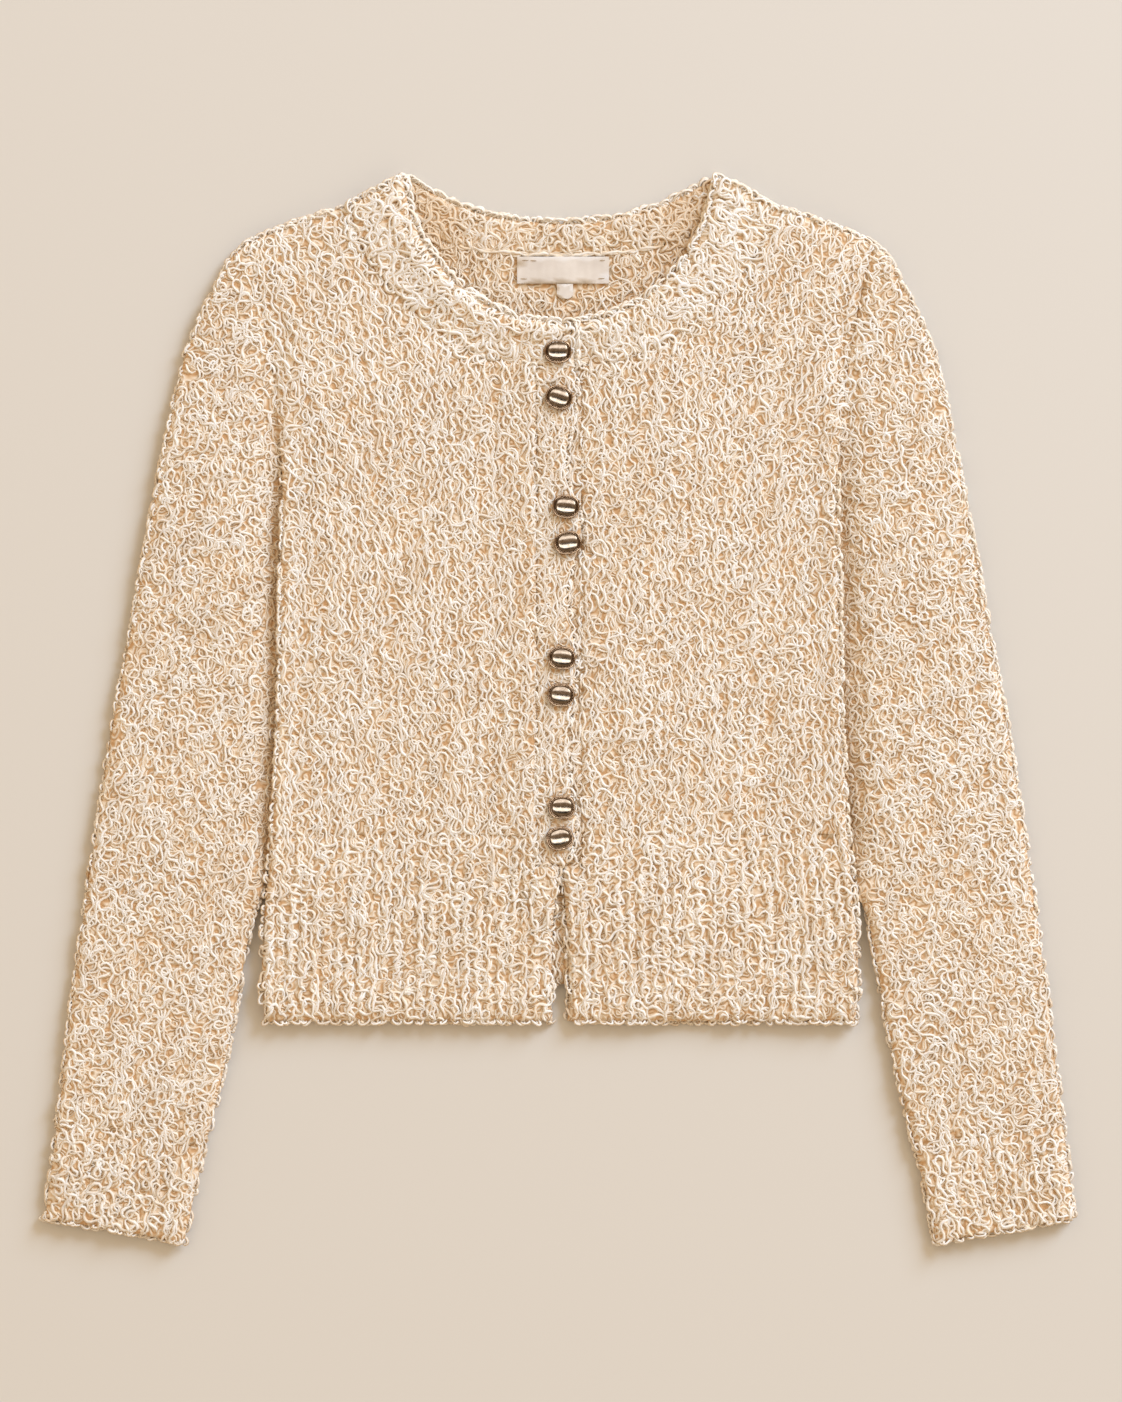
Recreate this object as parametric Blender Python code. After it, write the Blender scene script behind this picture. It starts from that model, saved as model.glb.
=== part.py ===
"""Button cardigan in boucle knit, laid flat on its back.

X runs across the garment, Y up it towards the neck, and Z off the surface it lies on.
Sizes are millimetres and are put into the meshes in metres. The garment is the same on
both sides but for its front opening, so outlines are given for one half, with x counted
outwards from the centre front. The wearer's right side lies at -X, on top at the opening.
"""

import math
from collections import namedtuple

import bmesh
import bpy

MM = 0.001

# Cloth, loops of the yarn included
WALL = 3.8
BAND_WALL = 3.0
NECK_WALL = 4.4
GAP = 0.3
LAYER_1 = WALL + GAP
LIFT = BAND_WALL + GAP
LAYER_2 = LAYER_1 + LIFT

# How far edges round off and seams sink, as a reach from the edge and a share of the wall
FREE_REACH = 6.0
FREE_DROP = 0.6
SEAM_REACH = 4.0
SEAM_DROP = 0.16
UNDER_REACH = 1.6
UNDER_RISE = 0.9

# Heights along the body
HEM_SEAM = -80.9
ARMPIT = 155.0
SLIT_TOP = -101.1
FRONT_HEM = -202.5
BACK_HEM = -178.4
HEM_REST = -187.4
HEM_FALL = 11.0
PUFF = 1.3
SHOULDER_SLOPE = 22.0
SHOULDER_BULGE = 2.2
ARMPIT_FADE = 12.0
BODY_PARTS = 12
NECK_PARTS = 12
NECK_STEP = 0.02
CROSSED_END = 0.7
FAR = 100.0

# How the fronts' puff fades at their edges, as shares, and how it waves across them
PUFF_FADE_ACROSS = 0.2
PUFF_FADE_ALONG = 0.17
WAVE_SHARE = 0.3
WAVE_X = 21.0
WAVE_Y = 46.0

# The front opening
RIGHT_BAND_SEAM = 15.6
LEFT_BAND_HALF = 14.3
RAMP = 16.4
SLIT_FADE = 24.0
STEP_CLEAR = (0.5, 0.2)
BUTTONHOLE_R = 2.2
SHANK_R = 1.5

# Ribs of the hem and the cuffs
RIB_RISE = 1.0
RIB_FADE = 9.0
RIB_EDGE = 5.0
HEM_RIBS = 25
CUFF_RIBS = 12

# Sleeves, which lie against the sides of the body down to the hem's ribs
SLEEVE_RINGS = 19
SLEEVE_TOPS = 6
SLEEVE_SLOT = 0.6
SLEEVE_CROWN = 1.2
SLEEVE_SIDE = 5.0
SLEEVE_SEWN = 0.3
SEAM_CLEAR = 0.5

# Buttons, label and size tab
BUTTON_W = 17.0
BUTTON_H = 14.0
LABEL_W = 59.8
LABEL_H = 17.5
LABEL_T = 0.8
TAB_W = 10.4
TAB_H = 9.6
LABEL_X = 2.0
LABEL_TOP = 295.4
TAB_X = 3.2

Edge = namedtuple("Edge", "y x")
Neck = namedtuple("Neck", "edge_x edge_y seam_x seam_y")
Sleeve = namedtuple("Sleeve", "outer_x outer_y inner_x inner_y")
Button = namedtuple("Button", "x y turn")
Level = namedtuple("Level", "scale z")

# Side of the body from the front hem up to the armpit, then the armhole to the shoulder
BODY_SIDE = [
    Edge(-202.5, 192.4),
    Edge(-188.2, 194.0),
    Edge(-136.2, 193.1),
    Edge(-103.7, 189.5),
    Edge(-80.9, 187.5),
    Edge(-58.2, 185.9),
    Edge(6.8, 182.7),
    Edge(71.8, 182.0),
    Edge(123.8, 180.4),
    Edge(155.0, 180.1),
    Edge(188.8, 182.7),
    Edge(229.1, 188.5),
    Edge(260.3, 194.3),
    Edge(289.6, 200.2),
    Edge(303.9, 203.5),
]

# Neckband from the shoulder to the centre, its free edge and its seam on the body
FRONT_NECK = [
    Neck(101.4, 346.8, 135.8, 328.6),
    Neck(98.8, 329.9, 132.0, 309.7),
    Neck(92.3, 311.7, 122.2, 289.6),
    Neck(81.6, 294.1, 107.9, 272.7),
    Neck(67.9, 278.5, 88.1, 254.5),
    Neck(49.4, 264.9, 66.3, 238.2),
    Neck(26.0, 254.8, 38.0, 226.8),
    Neck(0.0, 251.2, 0.0, 223.3),
]
BACK_NECK = [
    Neck(101.4, 346.8, 135.8, 328.6),
    Neck(95.5, 344.2, 114.5, 323.5),
    Neck(85.8, 338.3, 96.0, 314.6),
    Neck(65.0, 328.6, 76.7, 305.8),
    Neck(45.5, 322.4, 56.0, 299.8),
    Neck(26.0, 319.2, 29.9, 296.7),
    Neck(0.0, 317.2, 0.0, 295.8),
]

# Sleeve from the armhole to its seam with the cuff, then the cuff
SLEEVE = [
    Sleeve(203.5, 303.9, 180.1, 155.0),
    Sleeve(215.5, 292.1, 180.6, 145.3),
    Sleeve(228.8, 265.4, 180.8, 135.5),
    Sleeve(241.8, 237.3, 181.0, 120.6),
    Sleeve(251.6, 198.9, 181.5, 97.8),
    Sleeve(261.4, 150.0, 182.0, 68.6),
    Sleeve(271.4, 98.0, 182.4, 32.8),
    Sleeve(280.2, 45.8, 183.3, -6.2),
    Sleeve(291.2, -9.4, 185.5, -48.4),
    Sleeve(299.7, -64.7, 189.2, -92.7),
    Sleeve(304.1, -92.3, 193.2, -116.0),
    Sleeve(308.1, -119.9, 202.0, -142.4),
    Sleeve(315.9, -175.2, 211.0, -195.4),
    Sleeve(321.8, -224.2, 220.8, -243.1),
    Sleeve(327.2, -267.5, 231.1, -284.1),
]
CUFF = [
    Sleeve(327.2, -267.5, 231.1, -284.1),
    Sleeve(331.2, -298.4, 237.9, -314.4),
    Sleeve(335.1, -330.5, 244.4, -346.1),
]

# The free front edge of the right button band, x towards the wearer's left
FRONT_EDGE = [
    Edge(-100.9, 3.2),
    Edge(-90.7, 8.5),
    Edge(-72.5, 10.5),
    Edge(-45.2, 6.0),
    Edge(-19.2, 4.5),
    Edge(13.3, 10.0),
    Edge(45.8, 9.1),
    Edge(71.8, 4.5),
    Edge(94.6, 7.8),
    Edge(108.9, 12.6),
    Edge(132.3, 12.6),
    Edge(149.8, 4.5),
    Edge(175.8, 5.2),
    Edge(201.8, 11.0),
    Edge(223.0, 9.0),
]
# The slit below the bands, x outwards on each side
SLIT = [
    Edge(-202.5, 4.4),
    Edge(-180.0, 5.5),
    Edge(-156.0, 4.7),
    Edge(-119.0, 3.3),
    Edge(-101.4, 0.4),
]

# Turn is in degrees, anticlockwise seen from above
BUTTONS = [
    Button(-1.3, 233.0, 0),
    Button(-0.7, 203.1, -20),
    Button(3.9, 132.3, -5),
    Button(5.2, 108.9, 10),
    Button(1.3, 34.1, -5),
    Button(0.7, 10.1, -5),
    Button(1.3, -62.7, 0),
    Button(0.0, -82.9, 12),
]
# Outlines of a button from its seat up, as a share of its size, with the groove in its rim
BUTTON_LEVELS = [
    Level(0.74, 0.0),
    Level(0.97, 0.8),
    Level(1.0, 1.7),
    Level(0.93, 2.5),
    Level(0.84, 2.1),
    Level(0.76, 2.9),
    Level(0.5, 3.8),
]
BUTTON_TOP = 4.1
BAR_RISE = 0.7
BAR_HALF = 2.6
SQUARENESS = 2.9
BUTTON_SIDES = 16

YARN = (0.80, 0.69, 0.54)
BRONZE = (0.20, 0.15, 0.11)
TAPE = (0.84, 0.80, 0.72)


def smooth(t):
    t = min(max(t, 0.0), 1.0)
    return t * t * (3.0 - 2.0 * t)


def mix(a, b, t):
    return a + (b - a) * t


def spline(rows, t):
    """The row at share t of the way through a table, on a Catmull-Rom curve."""
    place = min(max(t, 0.0), 1.0) * (len(rows) - 1)
    i = min(int(place), len(rows) - 2)
    f = place - i
    around = [rows[max(i - 1, 0)], rows[i], rows[i + 1], rows[min(i + 2, len(rows) - 1)]]
    values = []
    for p, q, r, s in zip(*around):
        bend = (2 * p - 5 * q + 4 * r - s) * f * f + (3 * q - p - 3 * r + s) * f ** 3
        values.append(q + 0.5 * ((r - p) * f + bend))
    return type(rows[0])(*values)


def across(rows, y):
    """The x of an Edge table at height y, on a smooth curve through its rows."""
    y = min(max(y, rows[0].y), rows[-1].y)
    i = 0
    while i < len(rows) - 2 and rows[i + 1].y < y:
        i += 1

    def slope(k):
        below, above = rows[max(k - 1, 0)], rows[min(k + 1, len(rows) - 1)]
        return (above.x - below.x) / (above.y - below.y)

    span = rows[i + 1].y - rows[i].y
    t = (y - rows[i].y) / span
    start, end = rows[i].x, rows[i + 1].x
    ease = 3 * t * t - 2 * t ** 3
    lead_in = (t - 2 * t * t + t ** 3) * span * slope(i)
    lead_out = (t ** 3 - t * t) * span * slope(i + 1)
    return mix(start, end, ease) + lead_in + lead_out


def free_drop(distance):
    """How much lower the wall is near an edge that is folded or cast off."""
    near = 1.0 - min(max(distance, 0.0) / FREE_REACH, 1.0)
    return FREE_DROP * (1.0 - math.sqrt(1.0 - near * near))


def seam_drop(distance):
    return SEAM_DROP * (1.0 - smooth(distance / SEAM_REACH))


def under_rise(distance):
    """The underside turns up only in the last millimetre or two, so that the rest lies flat."""
    return UNDER_RISE * (1.0 - min(max(distance, 0.0) / UNDER_REACH, 1.0))


def spread(near_start, near_end, length, count):
    """Places from 0 to length: distances from the start, count between, those from the end."""
    end = [length - d for d in near_end]
    first, last = near_start[-1], end[0]
    middle = [mix(first, last, k / (count + 1)) for k in range(1, count + 1)]
    return near_start + middle + end


def add_object(name, mesh, parent, colour, roughness, metallic=0.0):
    obj = bpy.data.objects.new(name, mesh)
    bpy.context.scene.collection.objects.link(obj)
    obj.parent = parent
    material = bpy.data.materials.new(name)
    material.use_nodes = True
    shader = material.node_tree.nodes["Principled BSDF"]
    shader.inputs["Base Color"].default_value = (*colour, 1.0)
    shader.inputs["Roughness"].default_value = roughness
    shader.inputs["Metallic"].default_value = metallic
    mesh.materials.append(material)
    mesh.shade_smooth()
    mesh.set_sharp_from_angle(angle=math.radians(40))
    return obj


def add_cloth(name, mesh, parent):
    return add_object(name, mesh, parent, YARN, 0.95)


def closed_mesh(name, points, faces):
    """A mesh of one closed body, its faces turned outwards."""
    bm = bmesh.new()
    verts = [bm.verts.new((x * MM, y * MM, z * MM)) for x, y, z in points]
    for face in faces:
        bm.faces.new([verts[i] for i in face])
    bmesh.ops.recalc_face_normals(bm, faces=bm.faces)
    if bm.calc_volume(signed=True) < 0:
        bmesh.ops.reverse_faces(bm, faces=bm.faces)
    mesh = bpy.data.meshes.new(name)
    bm.to_mesh(mesh)
    bm.free()
    return mesh


def slab(name, grids):
    """A wall of cloth over grids of (x, y, low, high); equal points of two grids are one."""
    index, points, quads, walls = {}, [], [], {}
    for grid in grids:
        keys = []
        for row in grid:
            keys.append([])
            for x, y, low, high in row:
                key = (round(x, 3), round(y, 3))
                if key not in index:
                    index[key] = len(points)
                    points += [(x, y, low), (x, y, high)]
                keys[-1].append(index[key])
        for i in range(len(keys) - 1):
            for j in range(len(keys[0]) - 1):
                quads.append((keys[i][j], keys[i][j + 1], keys[i + 1][j + 1], keys[i + 1][j]))
    faces = []
    for quad in quads:
        corners = [c for k, c in enumerate(quad) if c != quad[k - 1]]
        faces.append([c + 1 for c in corners])
        faces.append(list(reversed(corners)))
        for a, b in zip(corners, corners[1:] + corners[:1]):
            if (b, a) in walls:
                del walls[(b, a)]
            else:
                walls[(a, b)] = [a, b, b + 1, a + 1]
    return closed_mesh(name, points, faces + list(walls.values()))


def tube(name, rings):
    """A wall of cloth round a slot; each ring is an outer and an inner loop of points."""
    size = len(rings[0][0])
    points = [point for outer, inner in rings for point in outer + inner]
    faces = []
    for k in range(size):
        n = (k + 1) % size
        for r in range(len(rings) - 1):
            low, high = 2 * size * r, 2 * size * (r + 1)
            faces.append([low + k, low + n, high + n, high + k])
            faces.append([low + size + n, low + size + k, high + size + k, high + size + n])
        last = 2 * size * (len(rings) - 1)
        faces.append([n, k, size + k, size + n])
        faces.append([last + k, last + n, last + size + n, last + size + k])
    return closed_mesh(name, points, faces)


def mirrored(grid, side):
    """A half grid put on its side of the garment, turned so that its order stays the same."""
    return [[(side * x, y, low, high) for x, y, low, high in row][::side] for row in grid]


def lift(x, y):
    """How far the right front rises to lie on the left one; x outwards on its own side."""
    beside = 1.0 - smooth((x - RIGHT_BAND_SEAM - 0.4) / RAMP)
    return LIFT * beside * smooth((y - SLIT_TOP + SLIT_FADE) / SLIT_FADE)


def no_lift(x, y):
    return 0.0


def shoulder_bulge(share, v):
    """How far the top quarter of a panel's rows bows up between armhole and neck."""
    return 4.0 * SHOULDER_BULGE * share * (1.0 - share) * smooth(4 * v - 3)


def within(share, fade):
    """0 at both ends of a span and 1 between them, fading over a share of it."""
    return smooth(share / fade) * smooth((1.0 - share) / fade)


def corner_share(neck, centre_x):
    """Where along a neck table its seam is centre_x out from the centre."""
    return next(k / 400 for k in range(400, 0, -1) if spline(neck, k / 400).seam_x >= centre_x)


def neck_shares(corner):
    """Places along a neckband, from the shoulder, that its seam shares with a panel."""
    even = [k / NECK_PARTS for k in range(1, NECK_PARTS + 1)]
    kept = [t for t in even if abs(t - corner) > NECK_STEP or t == corner]
    return [0.0, NECK_STEP] + kept + [corner]


def body_rows(neck, centre_x):
    """Ends of the rows of a body panel's half, as (side point, centre point) pairs."""
    corner = corner_share(neck, centre_x)
    top = spline(neck, corner).seam_y - GAP
    side_top = top - SHOULDER_SLOPE
    rows = []
    for y in spread([GAP, 3.3], [3.0, 0.0], top - HEM_SEAM, BODY_PARTS):
        share = y / (top - HEM_SEAM)
        side_y = mix(HEM_SEAM + y, mix(HEM_SEAM, side_top, share), smooth(share))
        rows.append(((across(BODY_SIDE, side_y), side_y), (centre_x, HEM_SEAM + y)))
    shoulder = BODY_SIDE[-1].y
    for t in sorted({t for t in neck_shares(corner) if t < corner}, reverse=True):
        seam = spline(neck, t)
        side_y = mix(shoulder, side_top, t / corner)
        outwards = (seam.seam_x - seam.edge_x, seam.seam_y - seam.edge_y)
        shift = GAP / math.hypot(*outwards)
        neck_end = (seam.seam_x + shift * outwards[0], seam.seam_y + shift * outwards[1])
        rows.append(((across(BODY_SIDE, side_y), side_y), neck_end))
    return rows


def front_panel(centre_x, rise):
    """Half grid of a front: free at the side, sewn at armhole, neck, band and hem."""
    rows = body_rows(FRONT_NECK, centre_x)
    grid = []
    for i, (side_end, centre_end) in enumerate(rows):
        width = math.dist(side_end, centre_end)
        top = math.dist(rows[-1][0], side_end) if side_end[1] > ARMPIT else FAR
        bottom = side_end[1] - HEM_SEAM
        v = i / (len(rows) - 1)
        line = []
        for d in spread([0.0, 0.9, 2.8, 6.0], [3.0, 0.0], width, 6):
            share = d / width
            x = mix(side_end[0], centre_end[0], share)
            y = mix(side_end[1], centre_end[1], share) + shoulder_bulge(share, v)
            open_side = smooth((ARMPIT - side_end[1]) / ARMPIT_FADE)
            side = mix(seam_drop(d), free_drop(d), open_side)
            drop = max(side, seam_drop(width - d), seam_drop(bottom), free_drop(top))
            inside = within(share, PUFF_FADE_ACROSS) * within(v, PUFF_FADE_ALONG)
            wave = 1.0 - WAVE_SHARE + WAVE_SHARE * math.sin(x / WAVE_X + y / WAVE_Y)
            low = LAYER_1 + rise(x, y) + PUFF * inside * wave
            line.append((x, y, low, low + WALL * (1.0 - drop)))
        grid.append(line)
    return grid


def back_panel():
    """Half grid of the back, flat below; its free edges turn up a little."""
    rows = body_rows(BACK_NECK, 0.0)
    grid = []
    for i, (side_end, centre_end) in enumerate(rows):
        width = math.dist(side_end, centre_end)
        top = math.dist(rows[-1][0], side_end) if side_end[1] > ARMPIT else FAR
        v = i / (len(rows) - 1)
        at_neck = centre_end[0] > 0.0 or v > 0.95
        line = []
        for d in spread([0.0, 1.6], [3.0, 0.0], width, 6):
            share = d / width
            x = mix(side_end[0], centre_end[0], share)
            y = mix(side_end[1], centre_end[1], share) + shoulder_bulge(share, v)
            low = under_rise(top)
            if side_end[1] < ARMPIT:
                low = max(low, under_rise(d))
            drop = seam_drop(width - d) if at_neck else 0.0
            line.append((x, y, low, WALL * (1.0 - drop)))
        grid.append(line)
    return grid


def ribbed(j, rise):
    return rise if j % 2 else 0.0


def hem_columns(step):
    """(share, rib half) across half a hem, with two more columns at the button band's seam."""
    half = across(BODY_SIDE, HEM_SEAM)
    at_step = [1.0 - (step + clear) / half for clear in STEP_CLEAR]
    columns = [(share, 0) for share in at_step]
    for j in range(2 * HEM_RIBS + 1):
        share = j / (2 * HEM_RIBS)
        if abs(share - at_step[0]) * half > 1.0:
            columns.append((share, j))
    return sorted(columns)


def hem_front(step, rise):
    """Half grid of a front hem band; inside the step its top lies below the button band."""
    grid = []
    for share, j in hem_columns(step):
        half = across(BODY_SIDE, HEM_SEAM)
        beside_band = half * (1.0 - share) > step + sum(STEP_CLEAR) / 2
        top = (HEM_SEAM if beside_band else SLIT_TOP) - GAP
        line = []
        for d in spread([0.0, 4.0], [24.0, 18.0, 6.0, 2.4, 0.6, 0.0], top - FRONT_HEM, 1):
            y = top - d
            x = mix(across(BODY_SIDE, y), across(SLIT, y), share)
            outer = across(BODY_SIDE, y) - x
            inner = x - across(SLIT, y)
            below = y - FRONT_HEM
            open_inner = free_drop(inner) if y < SLIT_TOP + SEAM_REACH else 0.0
            drop = max(free_drop(outer), open_inner, seam_drop(d), free_drop(below))
            rib = ribbed(j, RIB_RISE) * smooth(d / RIB_FADE) * smooth(outer / RIB_EDGE)
            on_back = smooth((y - HEM_REST) / HEM_FALL)
            low = on_back * (LAYER_1 + rise(x, y))
            line.append((x, y, low, low + WALL * (1.0 - drop) + rib))
        grid.append(line)
    return grid


def hem_back():
    grid = []
    for d in spread([GAP, 1.9], [1.6, 0.0], HEM_SEAM - BACK_HEM, 6):
        y = HEM_SEAM - d
        side = across(BODY_SIDE, y)
        line = []
        for share in (0.0, 1.6 / side, 0.25, 0.5, 0.75, 1.0):
            outer = side * share
            low = max(under_rise(outer), under_rise(y - BACK_HEM))
            drop = max(free_drop(outer), free_drop(y - BACK_HEM)) * 0.5
            line.append((side * (1.0 - share), y, low, WALL * (1.0 - drop)))
        grid.append(line)
    return grid


def neck_grid(neck, places, low_of, wall_of):
    """Sections of a neckband, each from its free edge to its seam."""
    grid = []
    for t, extra in places:
        row = spline(neck, t)
        width = math.hypot(row.seam_x - row.edge_x, row.seam_y - row.edge_y)
        line = []
        for d in spread([0.0, 0.9, 2.8], [3.0, GAP], width, 1):
            x = mix(row.edge_x, row.seam_x, d / width) - extra
            y = mix(row.edge_y, row.seam_y, d / width)
            low = low_of(x, y)
            drop = max(free_drop(d), seam_drop(width - d))
            line.append((x, y, low, low + wall_of(x) * (1.0 - drop)))
        grid.append(line)
    return grid


def neckband_front(corner, reach, rise):
    """Half grid of a front neckband that runs past the centre and is thin where they cross."""
    shares = sorted(set(neck_shares(corner)))
    places = [(t, 0.0) for t in shares] + [(1.0, reach * k / 3) for k in (1, 2, 3)]

    def wall(x):
        return mix(BAND_WALL, NECK_WALL, smooth((x - RIGHT_BAND_SEAM) / RAMP))

    def low(x, y):
        return LAYER_1 + rise(x, y)

    grid = neck_grid(FRONT_NECK, places, low, wall)
    end = grid[-1]
    grid[-1] = [(x, y, low_z, mix(low_z, high, CROSSED_END)) for x, y, low_z, high in end]
    return grid


def neckband_back():
    places = [(t, 0.0) for t in sorted(set(neck_shares(1.0)))]
    grid = neck_grid(BACK_NECK, places, lambda x, y: 0.0, lambda x: WALL)
    for row in grid:
        x, y, _, high = row[0]
        row[0] = (x, y, UNDER_RISE, high)
    return grid


def right_band():
    """Grid of the button band on top, from its seam to its uneven front edge."""
    length = FRONT_NECK[-1].seam_y - GAP - (SLIT_TOP + GAP)
    grid = []
    for d in spread([0.0, 2.0], [2.0, 0.0], length, 21):
        y = SLIT_TOP + GAP + d
        edge = -across(FRONT_EDGE, y)
        width = RIGHT_BAND_SEAM - edge
        line = []
        for a in spread([0.0, 2.0], [4.5, 1.5, 0.0], width, 0):
            drop = max(seam_drop(a), free_drop(width - a) * 0.8, free_drop(d))
            line.append((RIGHT_BAND_SEAM - a, y, LAYER_2, LAYER_2 + BAND_WALL * (1.0 - drop)))
        grid.append(line)
    return grid


def left_band():
    """Grid of the button band below, which carries the buttons."""
    low_y, high_y = SLIT_TOP + GAP, FRONT_NECK[-1].seam_y - GAP
    reach = [-LEFT_BAND_HALF, 1.0 - LEFT_BAND_HALF, 0.0, LEFT_BAND_HALF - 1.0, LEFT_BAND_HALF]
    grid = []
    for k in range(9):
        y = mix(low_y, high_y, k / 8)
        line = []
        for x in reach:
            drop = 0.15 if abs(x) == LEFT_BAND_HALF else 0.0
            line.append((x, y, LAYER_1, LAYER_1 + BAND_WALL * (1.0 - drop)))
        grid.append(line)
    return grid


def ring(ends, height, crown, tops, rises, curve=0.0):
    """Outer and inner loop of a flattened sleeve section, flat below."""
    inner_end = (ends.inner_x, ends.inner_y)
    outer_end = (ends.outer_x, ends.outer_y)
    width = math.dist(inner_end, outer_end)

    def place(d, z):
        s = d / width
        y = mix(inner_end[1], outer_end[1], s)
        x = mix(inner_end[0], outer_end[0], s)
        if curve:
            seam_y = mix(ARMPIT, BODY_SIDE[-1].y, s)
            chord = mix(SLEEVE[0].inner_x, SLEEVE[0].outer_x, s)
            x += curve * (across(BODY_SIDE, seam_y) - chord)
        return (x, y, z)

    def loop(inset, side, low, high, rib):
        points = []
        for k in range(4):
            points.append(place(mix(inset + side, width - inset - side, k / 3), low))
        middle, half = (low + high) / 2, (high - low) / 2
        for angle in (-60, -30, 0, 30, 60):
            c, s = math.cos(math.radians(angle)), math.sin(math.radians(angle))
            points.append(place(width - inset - side + side * c, middle + half * s))
        for k in range(tops):
            share = k / (tops - 1)
            d = mix(width - inset - side, inset + side, share)
            z = high + crown * math.sin(math.pi * share) + (rib[k] if rib else 0.0)
            points.append(place(d, z))
        for angle in (120, 150, 180, 210, 240):
            c, s = math.cos(math.radians(angle)), math.sin(math.radians(angle))
            points.append(place(inset + side + side * c, middle + half * s))
        return points

    outer = loop(0.0, SLEEVE_SIDE, 0.0, height, rises)
    inner_half = (height - 2 * WALL) / 2
    inner = loop(WALL, inner_half, WALL, height - WALL, None)
    return outer, inner


def on_side(rings, side):
    """Rings put on their side of the garment."""
    return [tuple([(side * x, y, z) for x, y, z in loop] for loop in pair) for pair in rings]


def sleeve_rings():
    """Sections of a sleeve, whose inner edge keeps clear of the body's side."""
    rings = []
    for k in range(SLEEVE_RINGS):
        t = k / (SLEEVE_RINGS - 1)
        ends = spline(SLEEVE, t)
        away = smooth(t / SLEEVE_SEWN)
        height = 2 * WALL + mix(GAP, SLEEVE_SLOT, away)
        at_end = k in (0, SLEEVE_RINGS - 1)
        crown = 0.0 if at_end else SLEEVE_CROWN * math.sin(math.pi * t) ** 0.6
        outer_x = ends.outer_x + SEAM_CLEAR * (1.0 - away)
        inner_x = max(ends.inner_x, across(BODY_SIDE, ends.inner_y) + SEAM_CLEAR)
        ends = ends._replace(outer_x=outer_x, inner_x=inner_x)
        rings.append(ring(ends, height, crown, SLEEVE_TOPS, None, 1.0 - away))
    return rings


def cuff_rings():
    tops = 2 * CUFF_RIBS + 1
    length = math.dist(CUFF[0][2:], CUFF[-1][2:])
    rings = []
    for d in spread([GAP, 4.0], [5.0, 1.6, 0.0], length, 1):
        ends = spline(CUFF, d / length)
        drop = max(seam_drop(d), 0.7 * free_drop(length - d))
        height = 2 * WALL + SLEEVE_SLOT
        rise = RIB_RISE * smooth(d / RIB_FADE) - WALL * drop
        rises = [rise if j % 2 else -WALL * drop for j in range(tops)]
        rises[0] = rises[-1] = 0.0
        rings.append(ring(ends, height, 0.0, tops, rises))
    return rings


def button_mesh(name):
    """A pebble with a grooved rim and a bar across its crown, on a shank."""
    def outline(scale, z):
        points = []
        for k in range(BUTTON_SIDES):
            a = 2 * math.pi * k / BUTTON_SIDES
            c, s = math.cos(a), math.sin(a)
            power = 2.0 / SQUARENESS
            x = math.copysign(abs(c) ** power, c) * scale * BUTTON_W / 2
            y = math.copysign(abs(s) ** power, s) * scale * BUTTON_H / 2
            on_crown = smooth((0.8 - scale) / 0.2)
            bar = BAR_RISE * on_crown * (1.0 - smooth((abs(y) - BAR_HALF) / 1.2))
            points.append((x, y, z + bar))
        return points

    shank = []
    for z in (-BAND_WALL - GAP, 0.0):
        for k in range(BUTTON_SIDES):
            a = 2 * math.pi * k / BUTTON_SIDES
            shank.append((SHANK_R * math.cos(a), SHANK_R * math.sin(a), z))
    points = shank
    for level in BUTTON_LEVELS:
        points = points + outline(level.scale, level.z)
    loops = len(points) // BUTTON_SIDES
    faces = [list(range(BUTTON_SIDES))]
    for r in range(loops - 1):
        for k in range(BUTTON_SIDES):
            n = (k + 1) % BUTTON_SIDES
            low, high = r * BUTTON_SIDES, (r + 1) * BUTTON_SIDES
            faces.append([low + k, low + n, high + n, high + k])
    top = len(points)
    points = points + [(0.0, 0.0, BUTTON_TOP + BAR_RISE)]
    last = (loops - 1) * BUTTON_SIDES
    for k in range(BUTTON_SIDES):
        faces.append([last + k, last + (k + 1) % BUTTON_SIDES, top])
    return closed_mesh(name, points, faces)


def add_buttonhole(band, button, parent):
    """A round hole in a band for a button's shank, cut by a hidden cylinder."""
    bm = bmesh.new()
    bmesh.ops.create_cone(
        bm, cap_ends=True, segments=12,
        radius1=BUTTONHOLE_R * MM, radius2=BUTTONHOLE_R * MM, depth=4 * BAND_WALL * MM,
    )
    mesh = bpy.data.meshes.new("buttonhole")
    bm.to_mesh(mesh)
    bm.free()
    cutter = bpy.data.objects.new("buttonhole", mesh)
    bpy.context.scene.collection.objects.link(cutter)
    cutter.parent = parent
    cutter.location = (button.x * MM, button.y * MM, (LAYER_2 + BAND_WALL / 2) * MM)
    cutter.hide_render = True
    cutter.display_type = "WIRE"
    cut = band.modifiers.new("buttonhole", "BOOLEAN")
    cut.operation = "DIFFERENCE"
    cut.object = cutter


def plate(name, left, right, bottom, top, corner):
    """A flat tape on the back's upper face, with its lower corners rounded by corner."""
    ends = [(top, 0.0)]
    for angle in (90, 60, 30, 0) if corner else (90,):
        a = math.radians(angle)
        ends.append((bottom + corner * (1.0 - math.cos(a)), corner * (1.0 - math.sin(a))))
    grid = []
    for y, inset in ends:
        row = []
        for share in (0.0, 0.5, 1.0):
            x = mix(left + inset, right - inset, share)
            row.append((x, y, LAYER_1, LAYER_1 + LABEL_T))
        grid.append(row)
    return slab(name, [grid])


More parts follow.
